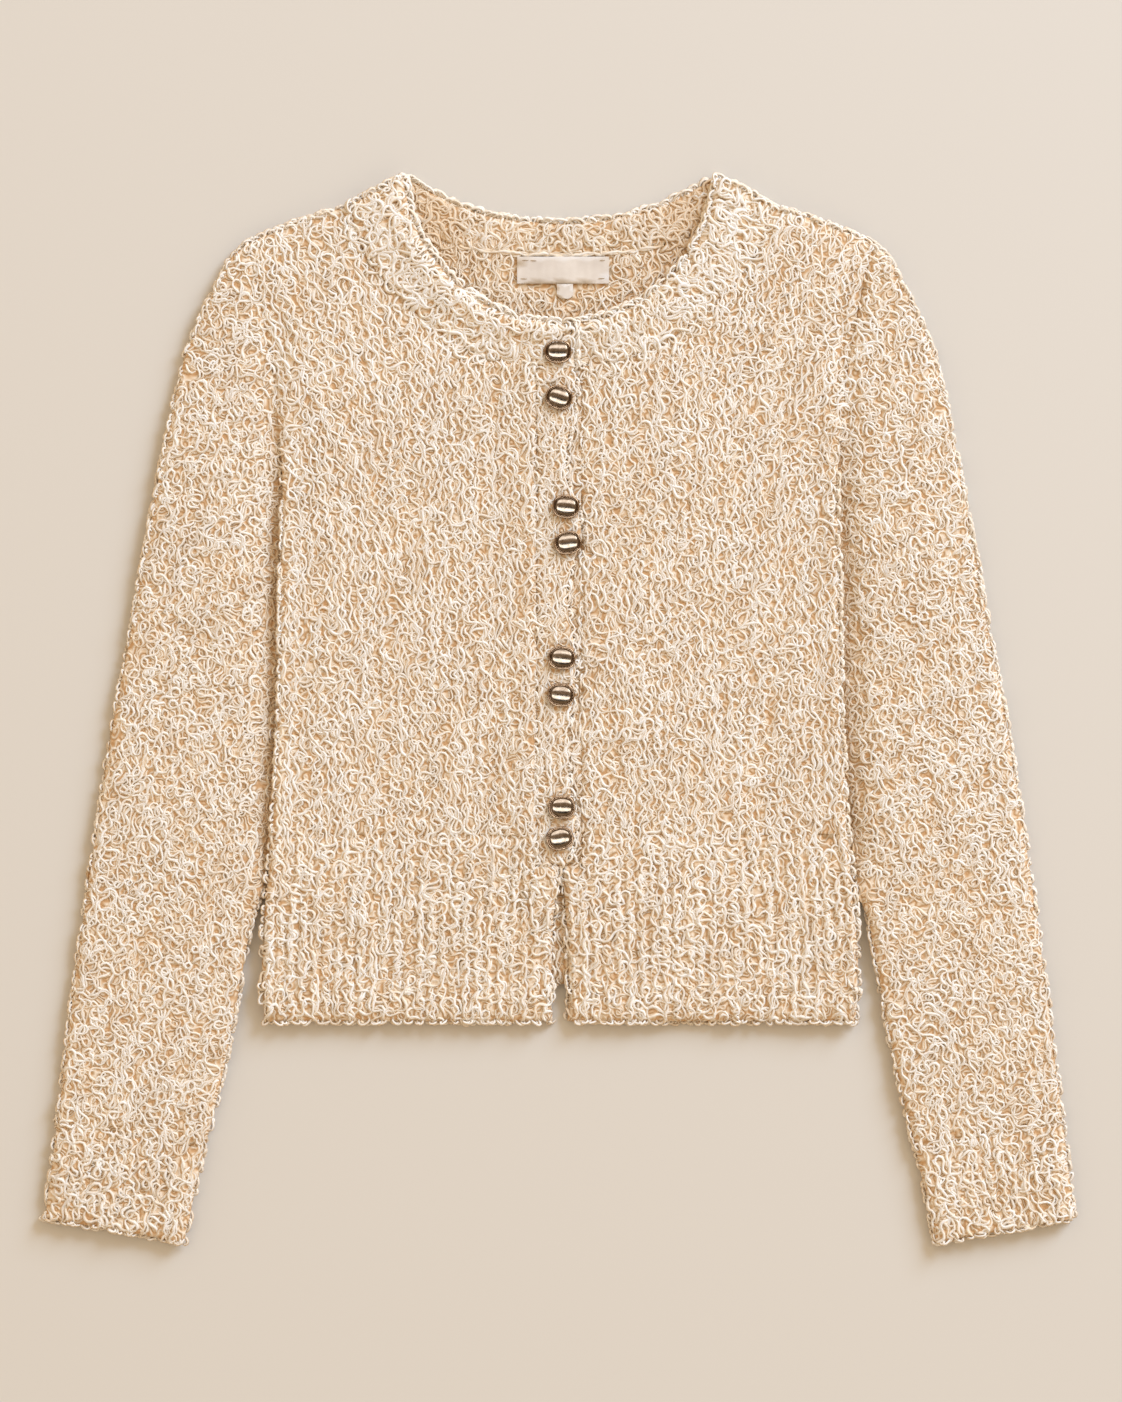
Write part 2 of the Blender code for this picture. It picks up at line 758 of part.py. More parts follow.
def build_body(parent):
    right_rows = mirrored(front_panel(RIGHT_BAND_SEAM + GAP, lift), -1)
    add_cloth("front_right", slab("front_right", [right_rows]), parent)
    left_rows = mirrored(front_panel(LEFT_BAND_HALF + GAP, no_lift), 1)
    add_cloth("front_left", slab("front_left", [left_rows]), parent)
    half = back_panel()
    add_cloth("back", slab("back", [mirrored(half, -1), mirrored(half, 1)]), parent)
    hem_right = mirrored(hem_front(RIGHT_BAND_SEAM, lift), -1)
    add_cloth("hem_front_right", slab("hem_front_right", [hem_right]), parent)
    hem_left = mirrored(hem_front(LEFT_BAND_HALF, no_lift), 1)
    add_cloth("hem_front_left", slab("hem_front_left", [hem_left]), parent)
    half = hem_back()
    add_cloth("hem_back", slab("hem_back", [mirrored(half, -1), mirrored(half, 1)]), parent)


def build_neckband(parent):
    reach_right = FRONT_EDGE[-1].x
    corner = corner_share(FRONT_NECK, RIGHT_BAND_SEAM + GAP)
    right_rows = mirrored(neckband_front(corner, reach_right, lift), -1)
    right = add_cloth("neckband_front_right", slab("neckband_front_right", [right_rows]), parent)
    corner = corner_share(FRONT_NECK, LEFT_BAND_HALF + GAP)
    left_rows = mirrored(neckband_front(corner, LEFT_BAND_HALF, no_lift), 1)
    add_cloth("neckband_front_left", slab("neckband_front_left", [left_rows]), parent)
    half = neckband_back()
    grids = [mirrored(half, -1), mirrored(half, 1)]
    add_cloth("neckband_back", slab("neckband_back", grids), parent)
    return right


def build_sleeves(parent):
    for name, side in (("right", -1), ("left", 1)):
        sleeve = tube(f"sleeve_{name}", on_side(sleeve_rings(), side))
        add_cloth(f"sleeve_{name}", sleeve, parent)
        cuff = tube(f"cuff_{name}", on_side(cuff_rings(), side))
        add_cloth(f"cuff_{name}", cuff, parent)


def build_opening(parent, neckband):
    """Button bands and the buttons, whose shanks pass through the band on top."""
    band_rows = mirrored(right_band(), -1)
    band = add_cloth("button_band_right", slab("button_band_right", [band_rows]), parent)
    add_cloth("button_band_left", slab("button_band_left", [left_band()]), parent)
    for number, button in enumerate(BUTTONS, 1):
        name = f"button_{number}"
        obj = add_object(name, button_mesh(name), parent, BRONZE, 0.28, 1.0)
        obj.location = (button.x * MM, button.y * MM, (LAYER_2 + BAND_WALL + GAP) * MM)
        obj.rotation_euler[2] = math.radians(button.turn)
        on_neckband = button.y > FRONT_NECK[-1].seam_y
        add_buttonhole(neckband if on_neckband else band, button, parent)


def build_label(parent):
    left = LABEL_X - LABEL_W / 2
    bottom = LABEL_TOP - LABEL_H
    label = plate("neck_label", left, left + LABEL_W, bottom, LABEL_TOP, 0.0)
    add_object("neck_label", label, parent, TAPE, 0.7)
    tab_left = TAB_X - TAB_W / 2
    tab = plate("size_tab", tab_left, tab_left + TAB_W, bottom - GAP - TAB_H, bottom - GAP, 3.5)
    add_object("size_tab", tab, parent, TAPE, 0.7)


def centre_on_box(root):
    """Moves the garment so that the middle of its underside is the origin."""
    bpy.context.view_layer.update()
    xs, ys = [], []
    for obj in root.children:
        if obj.hide_render:
            continue
        for vert in obj.data.vertices:
            place = obj.matrix_world @ vert.co
            xs.append(place.x)
            ys.append(place.y)
    root.location.x = -(min(xs) + max(xs)) / 2
    root.location.y = -(min(ys) + max(ys)) / 2


def main():
    for obj in list(bpy.data.objects):
        bpy.data.objects.remove(obj, do_unlink=True)
    root = bpy.data.objects.new("cardigan", None)
    bpy.context.scene.collection.objects.link(root)
    build_body(root)
    neckband = build_neckband(root)
    build_sleeves(root)
    build_opening(root, neckband)
    build_label(root)
    centre_on_box(root)


main()
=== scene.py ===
import math

import bmesh
import bpy
import numpy as np
from mathutils import Matrix, Vector
from mathutils.bvhtree import BVHTree


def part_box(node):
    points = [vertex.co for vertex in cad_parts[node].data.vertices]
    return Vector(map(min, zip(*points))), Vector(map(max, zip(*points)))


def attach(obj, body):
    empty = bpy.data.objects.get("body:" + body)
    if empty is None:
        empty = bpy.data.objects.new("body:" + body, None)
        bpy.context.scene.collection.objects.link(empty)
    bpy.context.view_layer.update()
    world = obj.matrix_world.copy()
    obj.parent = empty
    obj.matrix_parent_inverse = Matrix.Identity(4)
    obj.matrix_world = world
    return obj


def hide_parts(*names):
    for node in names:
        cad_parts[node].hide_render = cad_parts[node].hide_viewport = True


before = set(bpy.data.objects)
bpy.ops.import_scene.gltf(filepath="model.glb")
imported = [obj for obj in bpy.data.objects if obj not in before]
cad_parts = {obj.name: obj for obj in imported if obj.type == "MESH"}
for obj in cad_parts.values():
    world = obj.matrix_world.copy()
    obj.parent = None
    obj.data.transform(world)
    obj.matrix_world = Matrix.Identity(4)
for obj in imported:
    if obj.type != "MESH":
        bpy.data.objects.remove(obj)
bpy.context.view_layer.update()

mm = 0.001


class Wire:
    # A socket of a shader. Sums and products of wires add Math nodes.
    def __init__(self, tree, socket=None):
        self.tree = tree
        self.socket = socket

    def node(self, kind, settings=None, sockets=None, out=0):
        made = self.tree.nodes.new("ShaderNode" + kind)
        for key, value in (settings or {}).items():
            if key == "stops":
                self.fillRamp(made.color_ramp, value)
            else:
                setattr(made, key, value)
        for key, value in (sockets or {}).items():
            if isinstance(value, Wire):
                self.tree.links.new(value.socket, made.inputs[key])
            else:
                made.inputs[key].default_value = value
        return Wire(self.tree, made.outputs[out])

    def fillRamp(self, ramp, stops):
        while len(ramp.elements) < len(stops):
            ramp.elements.new(1.0)
        for element, (place, shade) in zip(ramp.elements, stops):
            element.position = place
            element.color = (*shade, 1.0)

    def maths(self, operation, first, second):
        return self.node("Math", {"operation": operation}, {0: first, 1: second})

    def __add__(self, other):
        return self.maths("ADD", self, other)

    def __radd__(self, other):
        return self.maths("ADD", other, self)

    def __mul__(self, other):
        return self.maths("MULTIPLY", self, other)

    def __rmul__(self, other):
        return self.maths("MULTIPLY", other, self)


def finish(name, plain):
    # a material with its plain values set, a wire in it, and its shader
    material = bpy.data.materials.new(name)
    material.use_nodes = True
    tree = material.node_tree
    shader = tree.nodes["Principled BSDF"]
    for key, value in plain.items():
        shader.inputs[key].default_value = value
    return material, Wire(tree), shader


def colour(r, g, b):
    # a colour picked on a screen, as the shader wants it
    return tuple(((c / 255 + 0.055) / 1.055) ** 2.4 if c > 10 else c / 3294.6 for c in (r, g, b))


def join(wire, shader, socket):
    wire.tree.links.new(wire.socket, shader.inputs[socket])


def toned(wire, amount, tones):
    # an amount from 0 to 1 as one of a ramp of screen colours
    stops = [(place, colour(*shade)) for place, shade in tones]
    return wire.node("ValToRGB", {"stops": stops}, {0: amount})


def emboss(wire, shader, height, strength, depth):
    bump = wire.node("Bump", {}, {"Strength": strength, "Distance": depth, "Height": height})
    join(bump, shader, "Normal")


def objectPlace(wire):
    return wire.node("TexCoord", out=3)


def noise(wire, scale, detail, uneven=0.5):
    sockets = {"Vector": objectPlace(wire), "Scale": scale, "Detail": detail, "Roughness": uneven}
    return wire.node("TexNoise", {}, sockets, 0)


def wave(wire, way, scale, uneven=0.0):
    sockets = {"Vector": objectPlace(wire), "Scale": scale, "Distortion": uneven}
    return wire.node("TexWave", {"bands_direction": way}, sockets, 1)


yarnLook = {
    "plain": {"Roughness": 0.85, "Specular IOR Level": 0.06},
    "tones": [  # painted shade: tan where strands touch and sink in, light at their crests
        (0.0, (231, 193, 146)), (0.24, (240, 216, 183)), (0.45, (243, 228, 205)),
        (0.72, (242, 239, 233)), (1.0, (241, 240, 239)),
    ],
    "dyes": [  # tints, the tan one first; low values also paint shade inside the garment and beside the body
        (0.0, (0.82, 0.74, 0.645)), (0.5, (0.95, 0.935, 0.91)), (1.0, (1.0, 1.0, 1.0)),
    ],
    "map": "OFBake",  # the yarn's UV map: painted shade along it, and dye with some painted shade across
}


def makeYarnFinish(look):
    material, wire, shader = finish("boucleYarnWithPaintedShade", look["plain"])
    places = wire.node("UVMap", {"uv_map": look["map"]})
    # painted shade comes from the map's first coordinate, dye and its painted shade from the second
    depth, dye = [wire.node("SeparateXYZ", {}, {0: places}, out) for out in (0, 1)]
    tint = wire.node("ValToRGB", {"stops": look["dyes"]}, {0: dye})
    both = {0: 1.0, 6: toned(wire, depth, look["tones"]), 7: tint}
    mixed = wire.node("Mix", {"data_type": "RGBA", "blend_type": "MULTIPLY"}, both, 2)
    join(mixed, shader, "Base Color")
    return material


groundPaintedShadeLook = {
    "plain": {"Roughness": 0.92, "Specular IOR Level": 0.06},
    # painted shade: darker tan between the fine strands, lighter at their tops
    "tones": [(0.1, (202, 162, 119)), (0.45, (219, 191, 156)), (0.9, (236, 222, 202))],
    "curl": 105.0,  # curls of a metre of cloth
    "uneven": 0.6,
    "lines": 7.0,  # strands across a curl
    "bump": (0.8, 1.1 * mm),  # strength and depth
}


def makeGroundPaintedShadeFinish(look):
    # fine strands that curl: contour lines of a smooth noise, in darker tans that paint the shade
    # between the yarn's strands
    material, wire, shader = finish("knitGroundPaintedShade", look["plain"])
    hills = noise(wire, look["curl"], 1.0, look["uneven"]) * look["lines"]
    line = hills.maths("PINGPONG", hills, 0.5) * 2.0
    join(toned(wire, line, look["tones"]), shader, "Base Color")
    emboss(wire, shader, line, *look["bump"])
    return material


tapeLook = {
    "plain": {"Roughness": 0.7, "Sheen Weight": 0.2},
    "tones": [(0.3, (206, 197, 187)), (0.7, (235, 229, 221))],
    "threads": {"X": 420.0, "Y": 560.0},  # scales of warp and weft
    "uneven": 0.4,
    "cloud": 60.0,  # scale of the faint stains
    "cloudShare": 0.65,
    "bump": (0.5, 0.2 * mm),
}


def makeTapeFinish(look):
    material, wire, shader = finish("labelTape", look["plain"])
    warp, weft = [wave(wire, way, scale, look["uneven"]) for way, scale in look["threads"].items()]
    weave = warp * 0.5 + weft * 0.5
    cloud = noise(wire, look["cloud"], 3.0)
    mixed = weave * (1 - look["cloudShare"]) + cloud * look["cloudShare"]
    join(toned(wire, mixed, look["tones"]), shader, "Base Color")
    emboss(wire, shader, weave, *look["bump"])
    return material


bronzeLook = {
    "plain": {"Metallic": 1.0},
    "rim": [(0.35, (104, 81, 60)), (0.7, (146, 120, 93))],
    "dome": [(0.35, (92, 77, 61)), (0.7, (120, 104, 87))],
    "wear": 420.0,  # scale of the worn spots
    "uneven": 0.6,
    "roughness": (0.12, 0.12),  # least, and added where it is worn
    "bump": (0.08, 0.2 * mm),
}


def makeBronzeFinish(name, look, tones):
    material, wire, shader = finish(name, look["plain"])
    wear = noise(wire, look["wear"], 4.0, look["uneven"])
    join(toned(wire, wear, tones), shader, "Base Color")
    least, worn = look["roughness"]
    join(least + wear * worn, shader, "Roughness")
    emboss(wire, shader, wear, *look["bump"])
    return material


threadLook = {
    "plain": {"Roughness": 0.6},
    "tones": [(0.2, (150, 130, 106)), (0.8, (196, 180, 156))],
    "twist": 700.0,
}


def makeThreadFinish(look):
    material, wire, shader = finish("sewingThread", look["plain"])
    twist = wave(wire, "DIAGONAL", look["twist"])
    join(toned(wire, twist, look["tones"]), shader, "Base Color")
    return material


yarnFinish = makeYarnFinish(yarnLook)
groundPaintedShadeFinish = makeGroundPaintedShadeFinish(groundPaintedShadeLook)
tapeFinish = makeTapeFinish(tapeLook)
rimFinish = makeBronzeFinish("darkBronze", bronzeLook, bronzeLook["rim"])
domeFinish = makeBronzeFinish("polishedBronze", bronzeLook, bronzeLook["dome"])
threadFinish = makeThreadFinish(threadLook)
print("finishes made")


def ease(t):
    # from 0 to 1 as t does, slow at both ends
    t = np.clip(t, 0.0, 1.0)
    return t * t * (3.0 - 2.0 * t)


# soft troughs, below zero, and ridges of the upper side: line, width, height and fade, in mm
creases = [
    ([(-180, 267), (-186, 212), (-187, 158)], 6.5, -1.5, 26),
    ([(181, 267), (187, 212), (188, 158)], 5.5, -1.3, 26),
    ([(-158, 232), (-154, 160), (-156, 84)], 17, 1.5, 42),
    ([(174, 226), (178, 90), (180, -66)], 10, 1.4, 46),
    ([(146, 146), (128, 30), (132, -64), (116, -168)], 24, -1.6, 60),
    ([(-118, 60), (-126, -60), (-112, -166)], 21, -0.7, 60),
    ([(-60, 190), (-66, 96), (-52, -10)], 26, 0.7, 60),
    ([(58, 176), (66, 60), (54, -50)], 22, 0.6, 50),
    ([(-205, 150), (-216, 98), (-218, 30)], 9, 1.0, 34),
    ([(-262, 58), (-238, 44), (-216, 50)], 6, -0.9, 16),
    ([(-270, 16), (-246, -4), (-228, -2)], 7, -0.7, 18),
    ([(-288, -96), (-262, -112), (-240, -106)], 8, -0.5, 20),
    ([(212, 62), (238, 40), (256, 46)], 6, -0.8, 16),
    ([(222, 8), (244, -8), (270, 2)], 7, -0.7, 18),
    ([(240, -118), (262, -128), (290, -112)], 8, -0.5, 20),
    ([(-15.6, 236), (-15.6, 60), (-15.6, -98)], 1.5, -1.0, 6),
]
hemRoll = {  # the thick rolled edge of the front hem
    "top": -176.0 * mm,
    "fall": 12.0 * mm,  # over which the hem would fall to the floor without it
    "height": 4.4 * mm,
    "side": 197.0 * mm,
}
creasesBelow = [  # the same for the underside, which otherwise lies flat
    ([(-172, 240), (-176, 176)], 6, 0.8, 22),
    ([(174, 244), (178, 172)], 6, 0.8, 22),
    ([(-96, 132), (-88, 20), (-102, -110)], 16, 0.6, 50),
    ([(120, 92), (112, -40), (124, -130)], 18, 0.7, 50),
    ([(20, 210), (34, 120), (22, 30)], 20, 0.5, 50),
    ([(-264, 30), (-236, 22), (-214, 34)], 6, 0.8, 16),
    ([(-276, -40), (-250, -52), (-232, -44)], 7, 0.6, 16),
    ([(210, 40), (236, 26), (262, 36)], 6, 0.8, 16),
    ([(232, -60), (256, -72), (280, -60)], 7, 0.6, 16),
]


def lengths(rows):
    return np.linalg.norm(rows, axis=1)


def relief(places, folds):
    # how far soft creases lift places in plan
    lift = np.zeros(len(places))
    for line, width, height, fade in folds:
        line = np.array(line) * mm
        gap = np.full(len(places), 1.0)
        for first, last in zip(line, line[1:]):
            run = last - first
            share = np.clip((places - first) @ run / (run @ run), 0, 1)
            gap = np.minimum(gap, lengths(places - first - share[:, None] * run))
        toEnd = np.minimum(lengths(places - line[0]), lengths(places - line[-1]))
        lift += height * mm * np.exp(-(gap / (width * mm)) ** 2) * ease(toEnd / (fade * mm))
    return lift


def upperRelief(places):
    # creases and the hem's roll, which fills up what falls to the floor there
    inHem = np.abs(places[:, 0]) < hemRoll["side"]
    fall = ease((hemRoll["top"] - places[:, 1]) / hemRoll["fall"])
    return relief(places, creases) + hemRoll["height"] * inHem * fall


bodySide = [  # y and x of the body's side and armhole, in millimetres
    (-202.5, 192.4), (-188.2, 194.0), (-136.2, 193.1), (-103.7, 189.5), (-80.9, 187.5),
    (-58.2, 185.9), (6.8, 182.7), (71.8, 182.0), (123.8, 180.4), (155.0, 180.1), (188.8, 182.7),
    (229.1, 188.5), (260.3, 194.3),
]
underarm = 152 * mm  # sleeves are free of the body below this y
tubes = ("sleeve", "cuff")  # how tubes' names start
fronts = ("front", "hem_front")  # and those of pieces that lie on the sleeves
beside = {  # how the body's sides lie over the sleeves
    "top": 220 * mm,
    "topFade": 110 * mm,
    "bottom": -122 * mm,
    "fade": 40 * mm,
    "dip": 6.2 * mm,  # of the sleeve next to the body
    "dipWidth": 13 * mm,
    "lowest": 1.8 * mm,
    "rise": 2.0 * mm,  # of the body's edge
    "riseWidth": 7 * mm,
    "seam": 0.2 * mm,  # past this, yarn over the armhole seam lies on the sleeve
}
neckEdge = [
    (-108, 326), (-100, 306), (-88, 289), (-73, 272.5), (-53.5, 258), (-29, 248), (0, 244),
    (29, 248), (53.5, 258), (73, 272.5), (88, 289), (100, 306), (108, 326),
]
neckRoll = [(neckEdge, 9, 2.6, 8)]  # the raised inner edge of the front neckband


def pastSide(x, y):
    # how far a place lies out from the body's side
    rows = np.array(bodySide) * mm
    return np.abs(x) - np.interp(y, rows[:, 0], rows[:, 1])


def shaped(node, places, share):
    # heights of places on the upper side, with the creases and where sleeve and body meet
    x, y, z = places.T
    high = z + upperRelief(places[:, :2]) * share
    if node.startswith("neckband_front"):
        return high + relief(places[:, :2], neckRoll) * share
    if not node.startswith(("sleeve", *fronts)):
        return high
    gap = pastSide(x, y)
    along = ease((beside["top"] - y) / beside["topFade"])
    edge = high + beside["rise"] * along * share * np.exp(-(gap / beside["riseWidth"]) ** 2)
    along = along * ease((y - beside["bottom"]) / beside["fade"])
    dip = beside["dip"] * along * np.exp(-(np.maximum(gap, 0) / beside["dipWidth"]) ** 2)
    dipped = np.where(z > beside["lowest"], np.maximum(high - dip, beside["lowest"]), high)
    # yarn that runs over the armhole seam follows what it lies on
    onSleeve = np.where(y < underarm, node.startswith("sleeve"), gap > beside["seam"])
    return np.where(onSleeve, dipped, edge)


cloth = {
    "sink": 0.45 * mm,  # how far the ground cloth lies under the pile's outside
    "sinkNeck": 0.1 * mm,  # the same under the chunkier loops of the neckband
    "sinkBelow": 0.5 * mm,  # the same where it rests on what is under it
    "seam": 0.4 * mm,  # how far sewn edges reach towards each other
    "nearby": 1.2 * mm,  # how near the other piece's edge lies at a seam
    "bridged": 2.6 * mm,  # to each side of the hem seam, where the yarn doesn't follow its groove
    "widest": 12 * mm,  # edges longer than this are divided
    "upwards": 0.3,  # faces tilted up more than this are part of the upper side
    "downwards": -0.4,  # and down more than this, of the underside
    "outwards": 0.3,  # and to the side more than this, of an edge
    "off": 0.05 * mm,  # from the surface, where rays along it start
    "sharp": 50,  # degrees between faces that keep a hard edge
}
panels = {  # flat width, length and area of each piece of cloth as cut, and what it rests on
    "back": ((0.407, 0.409), 0.1455, []),
    "hem_back": ((0.388, 0.098), 0.0373, []),
    "front_right": ((0.190, 0.410), 0.0600, ["back"]),
    "front_left": ((0.190, 0.410), 0.0600, ["back"]),
    "hem_front_right": ((0.194, 0.122), 0.0228, ["hem_back"]),
    "hem_front_left": ((0.194, 0.122), 0.0228, ["hem_back"]),
    "sleeve_right": ((0.225, 0.588), 0.1030, []),
    "sleeve_left": ((0.225, 0.588), 0.1030, []),
    "cuff_right": ((0.190, 0.066), 0.0122, []),
    "cuff_left": ((0.190, 0.066), 0.0122, []),
    "neckband_back": ((0.240, 0.030), 0.0062, ["back"]),
    "neckband_front_right": ((0.190, 0.033), 0.0059, ["front_right"]),
    "neckband_front_left": ((0.190, 0.033), 0.0059, ["front_left"]),
    "button_band_right": ((0.0265, 0.324), 0.0078, ["front_right"]),
    "button_band_left": ((0.0290, 0.324), 0.0092, ["back"]),
}


def camel(node):
    first, *rest = node.split("_")
    return first + "".join(word.capitalize() for word in rest)


def dividedCopy(node, widest):
    # a bmesh of the node's solid, its long edges halved, three times at most
    work = bmesh.new()
    work.from_mesh(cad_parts[node].data)
    bmesh.ops.remove_doubles(work, verts=work.verts, dist=1e-6)  # its triangles come loose
    for _ in range(3):
        long = [edge for edge in work.edges if edge.calc_length() > widest]
        if not long:
            break
        bmesh.ops.subdivide_edges(work, edges=long, cuts=1, use_grid_fill=True)
        bmesh.ops.triangulate(work, faces=[face for face in work.faces if len(face.verts) > 4])
    return work


def inScene(name, data):
    made = bpy.data.objects.new(name, data)
    bpy.context.scene.collection.objects.link(made)
    return made


def newObject(name, work, *finishes):
    mesh = bpy.data.meshes.new(name)
    work.to_mesh(mesh)
    work.free()
    mesh.shade_smooth()
    made = inScene(name, mesh)
    for one in finishes:
        mesh.materials.append(one)
    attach(made, "root")
    return made


everything = bmesh.new()
for node in panels:
    everything.from_mesh(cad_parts[node].data)
outside = BVHTree.FromBMesh(everything)  # all cloth, as rays meet it
everything.free()
down = Vector((0.0, 0.0, -1.0))
probe = {  # rays that look for cloth
    "top": 0.06,  # height that they start from
    "bottom": -0.02,  # the same from below
    "shows": 0.6 * mm,  # cloth this near to the outermost still shows
    "yarnShows": 1.5 * mm,  # the same for points of yarn
    "steepest": 0.25,  # yarn starts only where the cloth's normal rises more than this
}


def raysFrom(fromBelow):
    return (probe["bottom"], -down) if fromBelow else (probe["top"], down)


def isShown(hit, at, way, depth=probe["shows"]):
    # whether a place that a ray hit lies on the outermost cloth there
    first = outside.ray_cast(at, way)[0]
    return first is None or abs(first.z - hit.z) < depth


def isSewn(place, level):
    # whether another piece's edge stands right beside a place
    reach = cloth["nearby"]
    starts = [place + level * cloth["off"] + Vector((0, 0, rise)) for rise in (0, -reach, reach)]
    return any(outside.ray_cast(start, level, reach)[0] for start in starts)


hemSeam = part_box("front_right")[0][1]  # its y


def offSeam(node, y):
    # y moved off the rounded edges along the hem seam, which the yarn bridges
    if not node.startswith(fronts) or abs(y - hemSeam) > cloth["bridged"]:
        return y
    return hemSeam + math.copysign(cloth["bridged"], y - hemSeam)


surfaces = {}
groundCloths = {}
for node in panels:
    work = dividedCopy(node, cloth["widest"])
    work.normal_update()
    surfaces[node] = BVHTree.FromBMesh(work)
    verts = list(work.verts)
    normals = [vert.normal.copy() for vert in verts]
    shares = np.maximum([normal.z for normal in normals], 0.0)
    roofs = np.full(len(verts), 1.0)  # the cloth's end at the hem seam stays under its upper side
    for index, vert in enumerate(verts):
        y = offSeam(node, vert.co.y)
        hit = surfaces[node].ray_cast(Vector((vert.co.x, y, probe["top"])), down)[0]
        if y == vert.co.y or hit is None:
            continue
        roofs[index] = shaped(node, np.array([hit[:]]), 1.0)[0] - cloth["sink"]
        if normals[index].z > cloth["upwards"]:
            vert.co.z = hit.z
            shares[index] = 1.0
    places = np.array([vert.co[:] for vert in verts])
    above = shaped(node, places, shares)
    below = relief(places[:, :2], creasesBelow)
    sink = cloth["sinkNeck"] if node.startswith("neckband") else cloth["sink"]
    for vert, normal, high, dent, roof in zip(verts, normals, above, below, roofs):
        depth = cloth["sinkBelow"] if normal.z < cloth["downwards"] else sink
        level = Vector((normal.x, normal.y, 0.0))
        if level.length > cloth["outwards"] and isSewn(vert.co, level.normalized()):
            vert.co += level.normalized() * cloth["seam"]  # a sewn edge stays closed
            normal = Vector((0.0, 0.0, normal.z))
        vert.co.z = high + dent * max(-normal.z, 0.0)
        vert.co -= normal * depth
        vert.co.z = min(vert.co.z, roof)
    groundCloths[node] = newObject(camel(node) + "Cloth", work, groundPaintedShadeFinish)
    groundCloths[node].data.set_sharp_from_angle(angle=math.radians(cloth["sharp"]))
    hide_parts(node)
print("ground cloth made")


sewn = {  # where the yarn of a piece may run on over a seam
    "front_right": ["hem_front_right", "neckband_front_right", "button_band_right", "sleeve_right"],
    "front_left": ["hem_front_left", "neckband_front_left", "sleeve_left"],
    "hem_front_right": ["front_right", "button_band_right"],
    "hem_front_left": ["front_left"],
    "sleeve_right": ["front_right", "cuff_right"],
    "sleeve_left": ["front_left", "cuff_left"],
    "cuff_right": ["sleeve_right"],
    "cuff_left": ["sleeve_left"],
    "neckband_front_right": ["front_right", "neckband_back"],
    "neckband_front_left": ["front_left", "neckband_back"],
    "neckband_back": ["back", "neckband_front_right", "neckband_front_left"],
    "button_band_right": ["front_right", "hem_front_right", "neckband_front_right"],
    "back": ["neckband_back", "sleeve_right", "sleeve_left"],
    "hem_back": ["back"],
}


scatter = {
    "across": 0.7548776662,  # steps of a two-way sequence that fills a square evenly
    "along": 0.5698402910,
    "tries": 60,  # for each place
    "cell": 4 * mm,  # of the grid that measures an area
}


def scattered(node, count, fromBelow=False):
    # evenly scattered places on what shows of a node's surface
    low, high = (np.array(corner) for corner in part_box(node))
    start, way = raysFrom(fromBelow)
    found = []
    tried = 0
    while len(found) < count and tried < scatter["tries"] * count:
        tried += 1
        x = low[0] + (high[0] - low[0]) * ((0.5 + scatter["across"] * tried) % 1.0)
        y = low[1] + (high[1] - low[1]) * ((0.5 + scatter["along"] * tried) % 1.0)
        at = Vector((x, y, start))
        hit, normal = surfaces[node].ray_cast(at, way)[:2]
        if hit is not None and abs(normal.z) >= probe["steepest"] and isShown(hit, at, way):
            found.append(hit)
    return np.array(found)


def shownArea(node, fromBelow=False):
    # area of the node that shows from above or below
    low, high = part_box(node)
    cell = scatter["cell"]
    start, way = raysFrom(fromBelow)
    hits = 0
    for x in np.arange(low[0], high[0], cell):
        for y in np.arange(low[1], high[1], cell):
            at = Vector((x, y, start))
            hit = surfaces[node].ray_cast(at, way)[0]
            hits += hit is not None and isShown(hit, at, way)
    return hits * cell * cell


yarn = {
    "crown": 0.5,  # a strand's top above its middle, of half its width
    "belly": 0.3,
    "spill": 2.8 * mm,  # how far strands stand out over an edge
    "flat": 0.8,  # of that, how much stays level
    "outwards": (0.6, 0.8),  # how far it is turned outwards there, and how far up or down
    "tuck": 0.7 * mm,  # how far their ends dip
    "tucked": 2.0,  # points over which they do
    "width": (0.8, 1.2),  # of the pile's, from strand to strand
    "slub": 0.16,  # how uneven their thickness is
    "slubBeat": (0.5, 1.4),
    "endWidth": 0.5,
    "fewest": 4,  # points of a strand
    "press": 0.9 * mm,  # how far the buttons press them down
    "beat": (4.5, 8.5),  # points of a wave over and under other strands
    "second": (0.35, 0.43),  # a smaller wave: its swing and length, of the first one's
    "tone": (0.25, 0.65, 0.3, 0.5),  # painted shade: least, added by height and by wave, taken away at tucked ends
    "around": [(0.55, 0.43), (0.02, 0.36), (0.10, 0.36)],  # least painted shade and its range at the top corner and at the two flanks, which are painted darker
    "dyeSway": (0.05, 0.9),  # how much and how fast the dye changes along a strand
    "inExtraPaintedShade": 0.45,  # what is left of the painted shade value where the extra painted shade is deepest
    "lowest": 0.1 * mm,  # above the floor
    "edgeHeight": 1.2 * mm,  # above a strand's start, from where its nearest edge is found
    "seed": 100,
}


